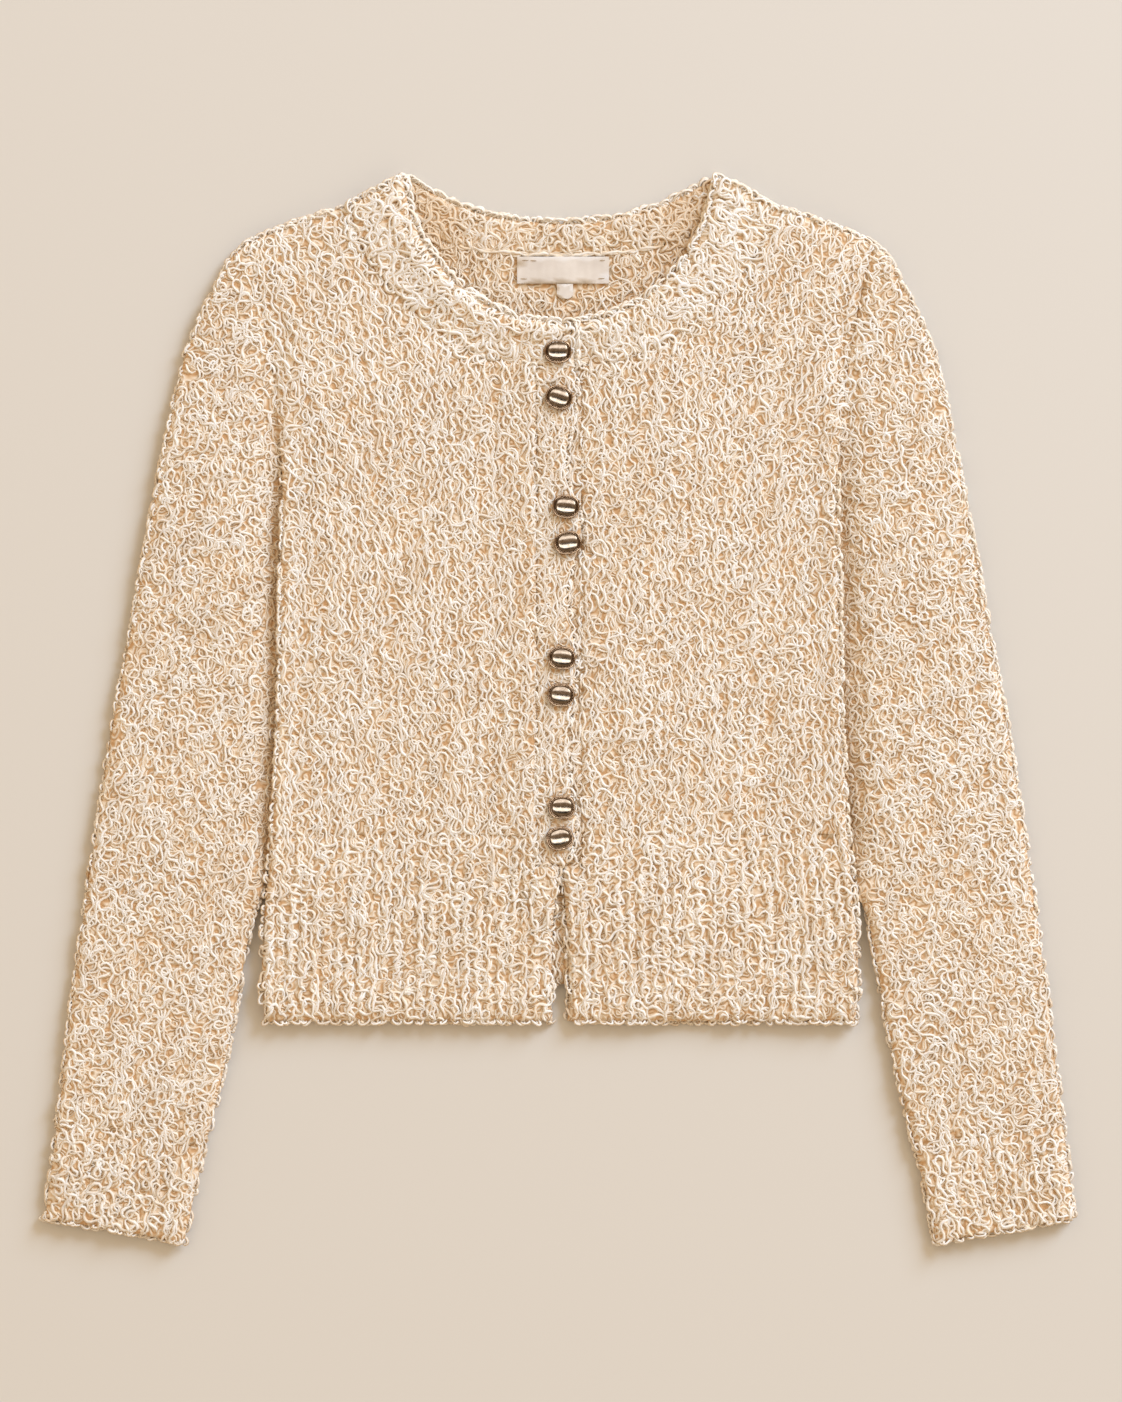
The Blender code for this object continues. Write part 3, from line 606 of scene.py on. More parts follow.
def wander(starts, look, rng):
    # plan paths through the starts: some run wavy along the grain and some curl
    count = len(starts)
    steps, pitch = look["steps"], look["pitch"]
    curly = rng.random(count) < look["curls"]
    swing = rng.uniform(*look["swing"], count)
    length = rng.uniform(*look["wave"], count)
    phase, second, heading = rng.uniform(0, 2 * math.pi, (3, count))
    tight = 1.0 / rng.uniform(*look["radius"], count)
    turn = rng.uniform(*look["turn"], count)
    small, short = yarn["second"]
    paths = np.empty((count, steps, 2))
    middle = steps // 2
    paths[:, middle] = starts[:, :2]

    def angle(at, run, way):
        wavy = look["grain"](at[:, 0], at[:, 1], way)
        wavy = wavy + swing * np.sin(2 * math.pi * run / length + phase)
        wavy = wavy + small * swing * np.sin(2 * math.pi * run / (short * length) + second)
        sweep = tight * turn / (2 * math.pi) * np.sin(2 * math.pi * run / turn + phase)
        return np.where(curly, heading + sweep, wavy)

    for way in (1, -1):
        at = starts[:, :2].copy()
        last = steps if way > 0 else -1
        for k in range(middle + way, last, way):
            turned = angle(at, (k - middle - 0.5 * way) * pitch, way)
            at = at + way * pitch * np.stack([np.cos(turned), np.sin(turned)], 1)
            paths[:, k] = at
    return paths


def sewnHere(node, other, y):
    # whether yarn of a piece may run onto another at this y
    return y > underarm or other.startswith(tubes) == node.startswith(tubes)


def drape(node, paths, heights, fromBelow=False):
    # where plan paths come to lie on the node and past its seams:
    # places, normals and which points lie on cloth
    count, steps = paths.shape[:2]
    places = np.zeros((count, steps, 3))
    normals = np.zeros((count, steps, 3))
    near = np.zeros((count, steps), bool)
    start, way = raysFrom(fromBelow)
    turned, upright = yarn["outwards"]
    own = surfaces[node]
    others = [] if fromBelow else [(other, surfaces[other]) for other in sewn.get(node, [])]
    for i in range(count):
        for k in range(steps):
            x, y = paths[i, k]
            at = Vector((x, y if fromBelow else offSeam(node, y), start))
            hit, normal = own.ray_cast(at, way)[:2]
            for other, tree in others:
                if hit is None and sewnHere(node, other, y):
                    hit, normal = tree.ray_cast(at, way)[:2]
            if hit is not None:
                near[i, k] = isShown(hit, at, way, probe["yarnShows"])
                near[i, k] &= fromBelow or not isBare(x, y)
                hit.y = y
            else:  # past the piece's edge, and turned out with it
                hit, normal = own.find_nearest(Vector((x, y, heights[i])))[:2]
                past = Vector((x - hit.x, y - hit.y, 0.0))
                near[i, k] = past.length < yarn["spill"]
                hit += yarn["flat"] * past
                normal = (past.normalized() * turned - way * upright).normalized()
            places[i, k] = hit
            normals[i, k] = normal
    flat = places.reshape(-1, 3)
    share = np.abs(normals.reshape(-1, 3)[:, 2])
    if fromBelow:
        flat[:, 2] += relief(flat[:, :2], creasesBelow) * share
    else:
        press = yarn["press"] * besideButton(*flat.T[:2])
        flat[:, 2] = shaped(node, flat, share) - press
    return flat.reshape(count, steps, 3), normals, near


def keptRun(near):
    # for each strand, the run of near points through its middle
    steps = near.shape[1]
    middle = steps // 2
    kept = near.copy()
    for k in range(middle + 1, steps):
        kept[:, k] &= kept[:, k - 1]
    for k in range(middle - 1, -1, -1):
        kept[:, k] &= kept[:, k + 1]
    return kept


def laid(node, paths, heights, look, rng, fromBelow=False):
    # strands on the node's surface, woven over and under each other, their ends tucked in
    count, steps = paths.shape[:2]
    places, normals, near = drape(node, paths, heights + yarn["edgeHeight"], fromBelow)
    kept = keptRun(near)
    k = np.arange(steps)
    low, high, sway = look["lift"]
    level = rng.random(count)[:, None]
    phase = rng.uniform(0, 2 * math.pi, (count, 1))
    beat = rng.uniform(*yarn["beat"], (count, 1))
    wave = np.sin(2 * math.pi * k / beat + phase)
    first = np.where(kept.any(1), kept.argmax(1), 0)[:, None]
    last = steps - 1 - kept[:, ::-1].argmax(1)[:, None]
    tuck = 1 - ease(np.minimum(k - first, last - k) / yarn["tucked"])
    lift = low + (high - low) * level + sway * wave - yarn["tuck"] * tuck
    centres = places + normals * lift[:, :, None]
    # painted shade: strands that lie lower, sink in their wave or tuck in at their ends are darker
    dull, bright = look["tone"]
    least, byHeight, byWave, byTuck = yarn["tone"]
    tones = dull + (bright - dull) * (byHeight * level + least + byWave * wave - byTuck * tuck)
    tones = np.clip(tones, 0, 1)
    # dye drawn at random for each strand; its low range on the inner pieces and its darkening below
    # are painted shade
    sway, pace = yarn["dyeSway"]
    dyes = np.clip(rng.uniform(*look["dye"], (count, 1)) + sway * np.sin(k * pace + phase), 0, 1)
    # painted shade in the corners under the shoulders and painted shadow of the body on the sleeves
    if "gloom" in look:
        bright = 1 - look["gloom"](places[:, :, 0], places[:, :, 1])
        tones = tones * (yarn["inExtraPaintedShade"] + (1 - yarn["inExtraPaintedShade"]) * bright)
        dyes = dyes * bright
    half = look["half"] * rng.uniform(*yarn["width"], (count, 1))
    half = half * (1 + yarn["slub"] * np.sin(k * rng.uniform(*yarn["slubBeat"], (count, 1))))
    return centres, normals, kept, tones, dyes, half


def unit(rows):
    # rows at length 1, and none divided by zero
    return rows / (lengths(rows)[:, None] + 1e-12)


def strandMesh(name, centres, normals, kept, tones, dyes, half):
    # three-sided tubes through the kept points of each strand
    count, steps = kept.shape
    kept = kept & (kept.sum(1) >= yarn["fewest"])[:, None]
    strand = np.repeat(np.arange(count), steps).reshape(count, steps)[kept]
    centre, normal, tone, dye, wide = [part[kept] for part in (centres, normals, tones, dyes, half)]
    index = np.arange(len(centre))
    isNext = strand[1:] != strand[:-1]
    isFirst, isLast = np.r_[True, isNext], np.r_[isNext, True]
    ahead, behind = np.where(isLast, index, index + 1), np.where(isFirst, index, index - 1)
    tangent = unit(centre[ahead] - centre[behind])
    side = unit(np.cross(tangent, normal))
    up = np.cross(side, tangent)
    wide = (wide * np.where(isFirst | isLast, yarn["endWidth"], 1.0))[:, None]
    base = centre - up * wide * yarn["belly"]
    ring = np.stack([centre + up * wide * yarn["crown"], base - side * wide, base + side * wide], 1)
    ring[:, :, 2] = np.maximum(ring[:, :, 2], yarn["lowest"])
    here = 3 * index[~isLast]
    there = here + 3
    quads = np.concatenate([np.stack([here + a, there + a, there + b, here + b], 1)
                            for a, b in ((0, 1), (1, 2), (2, 0))])
    starts = 3 * index[isFirst][:, None] + np.array([0, 1, 2])
    ends = 3 * index[isLast][:, None] + np.array([0, 2, 1])
    mesh = bpy.data.meshes.new(name)
    mesh.from_pydata(ring.reshape(-1, 3), [], quads.tolist() + starts.tolist() + ends.tolist())
    mesh.shade_smooth()
    uv = np.empty((len(centre), 3, 2), np.float32)
    # painted shade: the top corner of each ring lighter than its flanks
    for corner, (least, most) in enumerate(yarn["around"]):
        uv[:, corner, 0] = least + most * tone
    uv[:, :, 1] = dye[:, None]
    owner = np.empty(len(mesh.loops), np.int32)
    mesh.loops.foreach_get("vertex_index", owner)
    layer = mesh.uv_layers.new(name=yarnLook["map"])
    layer.uv.foreach_set("vector", uv.reshape(-1, 2)[owner].ravel())
    made = inScene(name, mesh)
    mesh.materials.append(yarnFinish)
    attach(made, "root")
    return made


ribs = {  # in millimetres
    "hem": {"slit": 4.6, "count": 25},
    "cuff": {
        "inner": ((231.1, -284.1), (244.4, -346.1)),  # the inner edge's ends in plan
        "outer": 327.2,
        "narrows": 5.4,
        "past": 0.3,  # how far past the ends its edges run on
        "count": 12,
    },
    "pull": 0.55,  # how far strands turn back to the crest of their rib
}


def offCrest(share, count):
    # how far off the nearest crest a share of a ribbed band lies, from -1 to 1
    return 2 * ((share * count) % 1.0) - 1


def hemShare(x, y):
    # share of the way across the hem, from the body's side to the slit
    side = np.abs(x) - pastSide(x, y)
    return (side - np.abs(x)) / (side - ribs["hem"]["slit"] * mm)


def cuffShare(x, y):
    # share of the way across the cuff, from its inner edge
    cuff = ribs["cuff"]
    (topX, topY), (endX, endY) = cuff["inner"]
    along = np.clip((y / mm - topY) / (endY - topY), -cuff["past"], 1 + cuff["past"])
    wide = cuff["outer"] - topX - cuff["narrows"] * np.clip(along, 0, 1)
    return (np.abs(x) / mm - topX - (endX - topX) * along) / wide


lean = {  # how far the columns of stitches lean from upright, in radians
    "body": 0.35,  # inwards, near the shoulders
    "from": (60 * mm, 20 * mm),  # x and y where that begins
    "over": (100 * mm, 200 * mm),  # and over which it grows
    "sleeve": 0.171,
    "cuff": 0.211,
    "neck": (360 * mm, 0.5, 90),  # y of the middle they point at, and how far and fast they sway
}


def bodyGrain(x, y, way):
    # the way that strands run, as an angle in plan
    (fromX, fromY), (overX, overY) = lean["from"], lean["over"]
    nearShoulder = ease((np.abs(x) - fromX) / overX) * ease((y - fromY) / overY)
    return math.pi / 2 - np.sign(x) * lean["body"] * nearShoulder


def sleeveGrain(x, y, way):
    return math.pi / 2 + np.sign(x) * lean["sleeve"]


def cuffGrain(x, y, way):
    pull = np.sign(x) * offCrest(cuffShare(x, y), ribs["cuff"]["count"])
    return math.pi / 2 + np.sign(x) * lean["cuff"] + way * ribs["pull"] * pull


def hemGrain(x, y, way):
    pull = -np.sign(x) * offCrest(hemShare(x, y), ribs["hem"]["count"])
    return math.pi / 2 + way * ribs["pull"] * pull


def bandGrain(x, y, way):
    return math.pi / 2 + 0 * x


def neckGrain(x, y, way):
    middle, swing, pace = lean["neck"]
    return np.arctan2(y - middle, x) + swing * np.sin(pace * x)


# where painted shade and painted shadow darken the yarn
gloom = {
    "corner": (50 * mm, 200 * mm),  # x and y where the corners under the shoulders begin
    "cornerFade": (34 * mm, 50 * mm),
    "valley": 12 * mm,  # width of the painted shadow on the sleeves' yarn beside the body
}


def neckCornerPaintedShade(x, y):
    # how much painted shade darkens the inner yarn, deep in the corners under the shoulders
    fromX, fromY = gloom["corner"]
    fadeX, fadeY = gloom["cornerFade"]
    return ease((np.abs(x) - fromX) / fadeX) * ease((y - fromY) / fadeY)


def valleyPaintedShadow(x, y):
    # how much painted shadow of the body darkens the sleeves' yarn next to it, where the body lies
    # over it
    gap = np.maximum(pastSide(x, y), 0)
    return np.exp(-(gap / gloom["valley"]) ** 2) * ease((beside["top"] - y) / beside["topFade"])


plainPile = {
    "cover": 1.7,  # how many times over the strands cover the cloth
    "half": 1.05 * mm,  # half a strand's width
    "pitch": 2.35 * mm,  # between the rings of a strand
    "steps": 16,
    "curls": 0.4,  # share of strands that curl
    "radius": (2.2 * mm, 4.4 * mm),  # of a curl at its tightest
    "turn": (20 * mm, 50 * mm),  # length of yarn in two turns of a curl
    "swing": (0.4, 1.1),  # of the others to each side of the grain
    "wave": (9 * mm, 21 * mm),
    "lift": (-0.3 * mm, 0.2 * mm, 0.28 * mm),  # lowest, highest and sway
    "tone": (0.15, 0.95),  # painted shade of the lowest strands and of the highest
    "dye": (0.1, 0.9),  # from the most to the least tan
    "grain": bodyGrain,
}
sleevePile = {
    "grain": sleeveGrain,
    "curls": 0.75,
    "radius": (1.8 * mm, 3.6 * mm),
    "turn": (16 * mm, 40 * mm),
    "gloom": valleyPaintedShadow,
}
hemPile = {
    "grain": hemGrain,
    "curls": 0.55,
    "half": 1.2 * mm,
    "radius": (2.1 * mm, 3.9 * mm),
    "turn": (16 * mm, 40 * mm),
}
cuffPile = {**hemPile, "grain": cuffGrain}
neckPile = {
    "grain": neckGrain,
    "curls": 0.85,
    "half": 1.25 * mm,
    "radius": (2.3 * mm, 4.4 * mm),
    "cover": 2.8,
    "lift": (-0.1 * mm, 0.8 * mm, 0.3 * mm),
    "dye": (0.3, 1.0),
}
# the inside, seen past the fronts: low dye and painted shade values paint it darker tan, as painted
# shade
innerPaintedShadePile = {"dye": (0.0, 0.45), "tone": (0.0, 0.7), "gloom": neckCornerPaintedShade}
# the same painted shade for the back neckband, whose edge loops keep the plain dye
innerNeckPaintedShadePile = {
    **neckPile, "dye": (0.0, 0.5), "rimDye": (0.3, 1.0), "tone": (0.0, 0.75), "gloom": neckCornerPaintedShade,
}
pile = {  # how the yarn of each piece differs from the plain pile
    "front_right": {},
    "front_left": {},
    "hem_front_right": hemPile,
    "hem_front_left": hemPile,
    "sleeve_right": sleevePile,
    "sleeve_left": sleevePile,
    "cuff_right": cuffPile,
    "cuff_left": cuffPile,
    "neckband_back": innerNeckPaintedShadePile,
    "neckband_front_right": neckPile,
    "neckband_front_left": neckPile,
    "button_band_right": {"grain": bandGrain, "cover": 2.0},
    # the under band: low dye values paint it darker tan, as painted shade
    "button_band_left": {"grain": bandGrain, "dye": (0.0, 0.55)},
    "back": innerPaintedShadePile,
    "hem_back": {**innerPaintedShadePile, "grain": bandGrain},
}
underPile = {  # coarser, flatter strands on the underside
    **plainPile,
    "cover": 0.55,
    "half": 1.6 * mm,
    "pitch": 4.6 * mm,
    "steps": 9,
    "curls": 0.35,
    "radius": (4 * mm, 8 * mm),
    "turn": (40 * mm, 90 * mm),
    "wave": (18 * mm, 40 * mm),
    "lift": (-0.6 * mm, -0.3 * mm, 0.1 * mm),
}
rim = {  # loops that stand out along free edges
    "kinds": {  # spacing, radius, half width, how far they sit back and tilt up
        "plain": (1.9 * mm, (1.7 * mm, 3.6 * mm), 1.0 * mm, 0.35, 0.9),
        "neckband": (1.7 * mm, (2.6 * mm, 5.0 * mm), 1.05 * mm, 0.2, 0.8),
        "inner": (4.8 * mm, (1.7 * mm, 3.8 * mm), 0.9 * mm, 0.25, 0.9),
        "band": (1.5 * mm, (1.7 * mm, 3.4 * mm), 1.0 * mm, 0.3, 0.25),
    },
    "kindOf": {"neckband": "neckband", "button": "band", "back": "inner", "hem_back": "inner"},
    "tall": (6 * mm, 3.6 * mm),  # usual height of a tube's edge and of another
    "steps": 8,
    "sweep": (1.3, 2.2),  # half the angle that a loop turns through
    "droop": -0.1,  # the least that they tilt
    "stretch": (0.5, 1.2),
    "skew": 1.0,
    # painted shade of each loop, drawn at random between these
    "tone": (0.6, 1.0),
    "raised": 1.5 * mm,  # from this height up loops follow the cloth's relief
    "lowest": 1.2 * mm,
    "upright": 0.75,  # edge faces whose normal rises less than this
    "free": 2.5 * mm,  # no other cloth this near an edge with loops
    "off": 0.2 * mm,  # from the face, where rays to it start
    "inside": -2 * mm,  # from here outwards, the body's side lies on the sleeve
    "clear": 0.95,  # how free a button's surroundings are kept
}
bare = [  # plan boxes that the yarn leaves free, round the label and its tab, in millimetres
    ((-28.6, 277.0), (32.6, 295.4)),
    ((-2.6, 266.4), (9.0, 277.0)),
]
buttonPlaces = [  # x and y in millimetres, from the neck to the hem, and turn in degrees
    (-1.3, 233.0, 0), (-0.7, 203.1, -20), (3.9, 132.3, -5), (5.2, 108.9, 10),
    (1.3, 34.1, -5), (0.7, 10.1, -5), (1.3, -62.7, 0), (0.0, -82.9, 12),
]
rootShift = -0.35 * mm  # of the part's middle from its tables' zero
clearing = (12 * mm, 3 * mm)  # round a button's middle, and over which the yarn rises again


def isBare(x, y):
    return any(low[0] < x / mm < high[0] and low[1] < y / mm < high[1] for low, high in bare)


def besideButton(x, y):
    # 1 under a button and right beside it, 0 a little further out
    gaps = [np.hypot(x - atX * mm, y - atY * mm - rootShift) for atX, atY, _ in buttonPlaces]
    return ease((clearing[0] - np.min(gaps, axis=0)) / clearing[1])


def freeSides(node, count, rng):
    # free places on the node's upright faces, the way out of each, and those faces' area
    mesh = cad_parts[node].data
    mesh.calc_loop_triangles()
    triangles = [tri.vertices for tri in mesh.loop_triangles]
    corners = np.array([[mesh.vertices[index].co[:] for index in three] for three in triangles])
    cross = np.cross(corners[:, 1] - corners[:, 0], corners[:, 2] - corners[:, 0])
    size = lengths(cross)
    out = cross / (size[:, None] + 1e-15)
    size = size * (np.abs(out[:, 2]) < rim["upright"])
    chosen = rng.choice(len(size), count, p=size / size.sum())
    u, v = rng.random((2, count))
    fold = u + v > 1
    u[fold], v[fold] = 1 - u[fold], 1 - v[fold]
    first, second, third = corners[chosen].transpose(1, 0, 2)
    places = first + u[:, None] * (second - first) + v[:, None] * (third - first)
    free = []
    for at, way in zip(places, out[chosen]):
        start = Vector(at) + Vector(way) * rim["off"]
        free.append(outside.ray_cast(start, Vector((*way[:2], 0)), rim["free"])[0] is None)
    if node.startswith(fronts):
        free |= (pastSide(*places.T[:2]) > rim["inside"]) & (places[:, 1] < underarm)
    return places[free], out[chosen][free], size.sum() / 2


def rimLoops(node, look, rng):
    # loops of yarn along the node's free edges
    kind = next((name for start, name in rim["kindOf"].items() if node.startswith(start)), "plain")
    spacing, sizes, halfWidth, back, most = rim["kinds"][kind]
    wall = freeSides(node, 10, rng)[2]  # these ten places aren't used
    height = rim["tall"][0] if node.startswith(tubes) else rim["tall"][1]
    places, out, _ = freeSides(node, int(wall / height / spacing), rng)
    clear = besideButton(*places.T[:2]) < rim["clear"]
    places, out = places[clear], out[clear]
    count = len(places)
    flatOut = out * [1, 1, 0]
    flatOut /= lengths(flatOut)[:, None]
    along = np.cross([0, 0, 1.0], flatOut)

    def drawn(low, high):
        return rng.uniform(low, high, count)[:, None]

    tilt = drawn(rim["droop"], most)
    outward = flatOut * np.cos(tilt) + np.array([0, 0, 1.0]) * np.sin(tilt)
    radius, stretch = drawn(*sizes), drawn(*rim["stretch"])
    skew = drawn(-rim["skew"], rim["skew"])
    steps = rim["steps"]
    sweep = drawn(*rim["sweep"]) * np.linspace(-1, 1, steps)
    away = radius * np.cos(sweep)
    aside = radius * stretch * np.sin(sweep) + skew * away
    middle = places - outward * radius * back
    middle[:, 2] = shaped(node, middle, np.clip(middle[:, 2] / rim["raised"], 0, 1))
    middle[:, 2] = np.maximum(middle[:, 2], rim["lowest"])
    centres = middle[:, None] + outward[:, None] * away[:, :, None]
    centres = centres + along[:, None] * aside[:, :, None]
    normals = np.cross(outward, along)
    normals *= np.where(normals[:, 2:3] < 0, -1.0, 1.0)
    normals = np.repeat(normals[:, None, :], steps, 1)
    tones = np.repeat(drawn(*rim["tone"]), steps, 1)
    dyes = drawn(*look.get("rimDye", look["dye"])) + yarn["dyeSway"][0] * np.sin(sweep * 2)
    half = np.full((count, steps), halfWidth)
    return centres, normals, half > 0, tones, np.clip(dyes, 0, 1), half


seamCord = {  # a thick strand along the back neckband's seam
    "node": "neckband_back",
    "centre": (0.0, 0.250),  # the seam's places are the first of the piece seen from here
    "angles": (38, 142, 1.5),  # first, last and step, in degrees
    "outwards": (0.02, 0.2, 0.001),  # nearest, furthest and step
    "half": 1.2 * mm,
    "lift": (0.5 * mm, 0.9 * mm, 0.3 * mm),
    "steps": 14,
    "starts": (-0.3, -0.5, 0.4),  # from the line's start and end, and step, in lengths
    "height": 8 * mm,
    "sway": (0.8 * mm, 3.5 * mm, 0.7),  # how far and how fast it wanders, and its share along x
}


def seamLine(seam):
    # plan points along the shown lower edge of a piece
    middleX, middleY = seam["centre"]
    line = []
    for angle in np.radians(np.arange(*seam["angles"])):
        for far in np.arange(*seam["outwards"]):
            x, y = middleX + far * math.cos(angle), middleY + far * math.sin(angle)
            at = Vector((x, y, probe["top"]))
            hit = surfaces[seam["node"]].ray_cast(at, down)[0]
            if hit is not None and isShown(hit, at, down):
                line.append(at[:2])
                break
    return np.array(line)


def cordPaths(line, look, rng):
    # overlapping lengths of strand along a line, gently wavy
    run = np.r_[0, np.cumsum(lengths(np.diff(line, axis=0)))]
    reach = (look["steps"] - 1) * look["pitch"]
    first, last, step = [share * reach for share in look["starts"]]
    begins = np.arange(first, run[-1] + last, step)
    at = np.clip(begins[:, None] + np.arange(look["steps"]) * look["pitch"], 0, run[-1])
    x, y = np.interp(at, run, line[:, 0]), np.interp(at, run, line[:, 1])
    swing, length, share = look["sway"]
    shift = swing * np.sin(at / length + rng.uniform(0, 6, (len(begins), 1)))
    return np.stack([x + shift * share, y + shift], 2)


def stacked(sets):
    # sets of strands as one, the shorter padded with points that aren't kept
    steps = max(one[2].shape[1] for one in sets)

    def padded(part):
        return np.pad(part, [(0, 0), (0, steps - part.shape[1])] + [(0, 0)] * (part.ndim - 2))
    return [np.concatenate([padded(part) for part in parts]) for parts in zip(*sets)]


def strandCount(area, look):
    # as many strands as cover the area, each as long and wide as its look says
    return int(look["cover"] * area / ((look["steps"] - 1) * look["pitch"] * 2 * look["half"]))


for number, (node, changes) in enumerate(pile.items()):
    rng = np.random.default_rng(yarn["seed"] + number)
    look = {**plainPile, **changes}
    starts = scattered(node, strandCount(shownArea(node), look))
    sets = [laid(node, wander(starts, look, rng), starts[:, 2], look, rng)]
    sets.append(rimLoops(node, look, rng))
    if node == seamCord["node"]:
        thick = {**look, **seamCord}
        paths = cordPaths(seamLine(seamCord), thick, rng)
        sets.append(laid(node, paths, np.full(len(paths), thick["height"]), thick, rng))
    if node in ("back", "hem_back") or node.startswith(tubes):
        under = scattered(node, strandCount(shownArea(node, True), underPile), True)
        lower = {**underPile, "grain": look["grain"]}
        sets.append(laid(node, wander(under, lower, rng), under[:, 2], lower, rng, True))
    strandMesh(camel(node) + "Yarn", *stacked(sets))
    print("yarn laid on", node, [len(one[0]) for one in sets])

button = {
    "width": 17.6 * mm,
    "height": 15.2 * mm,
    "squareness": 2.45,
    "sides": 48,
    "seat": 10.7 * mm,
    "barrel": 0.036,  # how fast the dome drops beside its long middle line, by the square
    "barrelFrom": (0.84, 0.16, 2.0),  # share where that begins, over which it grows, least height
    "levels": [  # share of the outline and height above the seat in millimetres
        (0.70, 0.0), (0.90, 0.15), (0.97, 0.6), (1.0, 1.2), (1.0, 1.7), (0.98, 2.15), (0.945, 2.4),
        (0.905, 2.38), (0.875, 2.1), (0.855, 1.7), (0.825, 1.55), (0.80, 1.75), (0.775, 2.6),
        (0.74, 3.75), (0.68, 4.1), (0.6, 4.27), (0.5, 4.37), (0.36, 4.45), (0.2, 4.48), (0.07, 4.5),
    ],
    "domeFrom": 11,  # the level at which the polished dome begins
}
metalPieces = bpy.data.collections.new("metalPieces")


def roundedSquare(work, share, z):
    # one ring of the button, from a circle pushed out to a rounded square
    ring = bmesh.ops.create_circle(work, segments=button["sides"], radius=1.0)["verts"]
    power = 2.0 / button["squareness"]
    start, fade, above = button["barrelFrom"]
    inside = float(ease((start - share) / fade)) if z > above else 0.0
    for vert in ring:
        x = math.copysign(abs(vert.co.x) ** power, vert.co.x) * share * button["width"] / 2
        y = math.copysign(abs(vert.co.y) ** power, vert.co.y) * share * button["height"] / 2
        vert.co = (x, y, z * mm - inside * button["barrel"] * y * y / mm)
    return ring


def turnedTo(x, y, z, turn):
    # a place in millimetres in plan, with a turn in degrees
    place = Matrix.Translation((x * mm, y * mm + rootShift, z))
    return place @ Matrix.Rotation(math.radians(turn), 4, "Z")


for number, (x, y, turn) in enumerate(buttonPlaces, 1):
    work = bmesh.new()
    rings = [roundedSquare(work, share, z) for share, z in button["levels"]]
    for pair in zip(rings, rings[1:]):
        ends = [set(ring) for ring in pair]
        edges = [edge for edge in work.edges if any(set(edge.verts) <= end for end in ends)]
        bmesh.ops.bridge_loops(work, edges=edges)
    bmesh.ops.contextual_create(work, geom=rings[0])
    bmesh.ops.contextual_create(work, geom=rings[-1])
    dome = {vert for ring in rings[button["domeFrom"]:] for vert in ring}
    for face in work.faces:
        face.material_index = int(all(vert in dome for vert in face.verts))
    bmesh.ops.transform(work, matrix=turnedTo(x, y, button["seat"], turn), verts=work.verts)
    bmesh.ops.recalc_face_normals(work, faces=work.faces)
    made = newObject(f"button{number}Metal", work, rimFinish, domeFinish)
    metalPieces.objects.link(made)
    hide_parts(f"button_{number}")
print("buttons made")


label = {
    "widest": 5 * mm,
    "sharp": 40,  # degrees
    "stitches": [  # thread at its corners: middle, length and turn
        (-22.6, 293.0, 4.6, 2), (-17.2, 292.8, 4.2, -3), (27.6, 292.9, 3.6, 3),
        (-23.4, 281.0, 4.4, -2), (27.0, 281.2, 4.4, 4),
    ],
    "thread": 0.32 * mm,  # half its width
    "top": 5.0 * mm,
    "order": Vector((1.0, 0.37, 0.73)),  # along which its faces are sorted
}
tapes = {}
for node in ("neck_label", "size_tab"):
    work = dividedCopy(node, label["widest"])
    tapes[node] = newObject(camel(node) + "Tape", work, tapeFinish)
    tapes[node].data.set_sharp_from_angle(angle=math.radians(label["sharp"]))
    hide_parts(node)
work = bmesh.new()
for x, y, length, turn in label["stitches"]:
    bead = Matrix.Diagonal((length * mm / 2, label["thread"], label["thread"], 1.0))
    place = turnedTo(x, y, label["top"], turn) @ bead
    bmesh.ops.create_uvsphere(work, u_segments=10, v_segments=8, radius=1.0, matrix=place)
work.faces.sort(key=lambda face: face.calc_center_median() @ label["order"])
labelStitches = newObject("labelStitches", work, threadFinish)
print("label made")


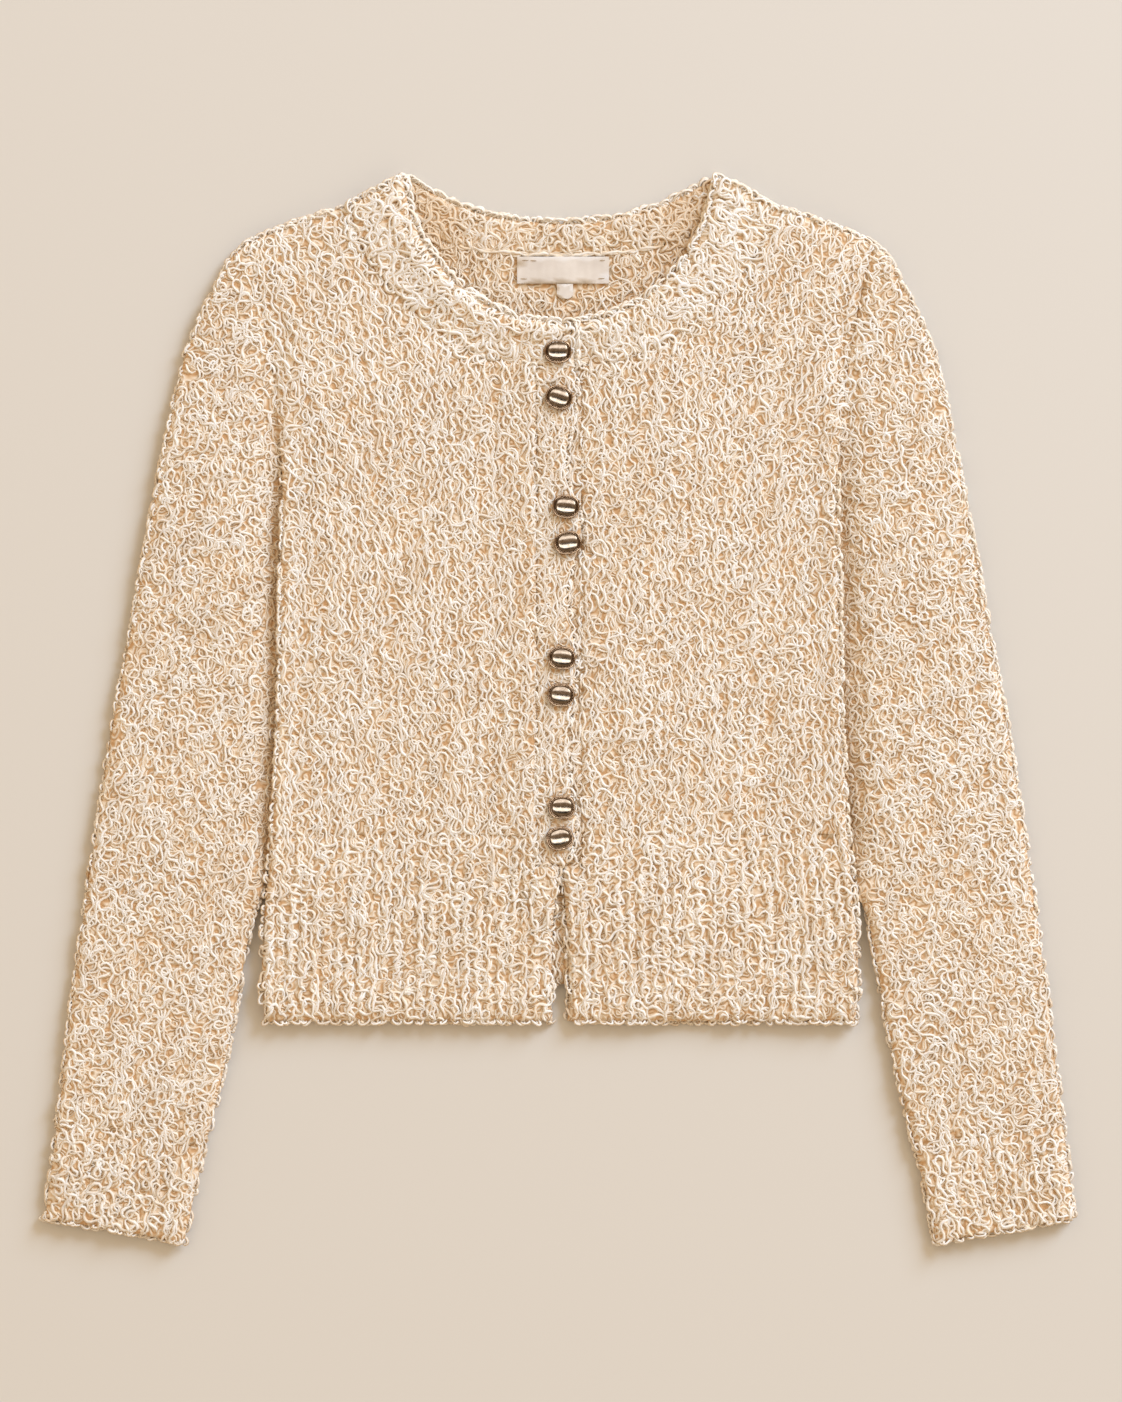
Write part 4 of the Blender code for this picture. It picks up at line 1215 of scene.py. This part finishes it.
studio = {
    "floorSize": 40.0,
    "floor": {"Base Color": (*colour(214, 211, 204), 1.0), "Roughness": 0.9},
    "sky": [(0.0, (1.08, 0.85, 0.605)), (0.87, (0.93, 0.73, 0.52)), (0.95, (0.06, 0.05, 0.04))],
    "skyAxis": (0.0, -0.38, 0.925),  # towards the darkest of the sky
    "lamps": {  # place, power, width, height and colour
        "key": ((4.1, 4.4, 2.9), 395.0, 3.0, 3.0, (0.80, 1.0, 1.29)),
        "topBox": ((0.1, 1.8, 2.0), 110.0, 4.0, 1.25, (0.84, 0.97, 1.18)),
        "lowBox": ((-0.1, -0.62, 2.0), 100.0, 3.4, 0.8, (0.86, 1.0, 1.2)),
    },
    "forMetal": ["topBox", "lowBox"],  # lamps that only the buttons mirror
    "camera": (0.65 * mm, 5.8 * mm, 2.2),
    "film": 36.0,
    "view": (0.008, 0.9113),  # above the floor, and how much of y is seen there
}
work = bmesh.new()
bmesh.ops.create_grid(work, x_segments=2, y_segments=2, size=studio["floorSize"] / 2)
mesh = bpy.data.meshes.new("floor")
work.to_mesh(mesh)
work.free()
mesh.materials.append(finish("paleFloor", studio["floor"])[0])
floor = inScene("floor", mesh)

world = bpy.data.worlds.new("studio")
world.use_nodes = True
sky = Wire(world.node_tree)
ways = {0: sky.node("TexCoord"), 1: studio["skyAxis"]}
nearAxis = sky.node("VectorMath", {"operation": "DOT_PRODUCT"}, ways, 1)
glow = sky.node("ValToRGB", {"stops": studio["sky"]}, {0: nearAxis})
world.node_tree.links.new(glow.socket, world.node_tree.nodes["Background"].inputs["Color"])
bpy.context.scene.world = world

for name, (place, power, width, height, tint) in studio["lamps"].items():
    lampData = bpy.data.lights.new(name, "AREA")
    lampData.energy = power
    lampData.shape = "RECTANGLE"
    lampData.size = width
    lampData.size_y = height
    lampData.color = tint
    lamp = inScene(name, lampData)
    lamp.location = place
    lamp.rotation_euler = (-Vector(place)).to_track_quat("-Z", "Y").to_euler()
    lamp.visible_camera = False
    if name in studio["forMetal"]:
        lamp.light_linking.receiver_collection = metalPieces

cameraData = bpy.data.cameras.new("camera")
camera = inScene("camera", cameraData)
camera.location = studio["camera"]
cameraData.sensor_width = studio["film"]
level, seen = studio["view"]
cameraData.lens = studio["film"] * (studio["camera"][2] - level) / seen
bpy.context.scene.camera = camera
bpy.context.scene.view_settings.view_transform = "Standard"
print("studio set")
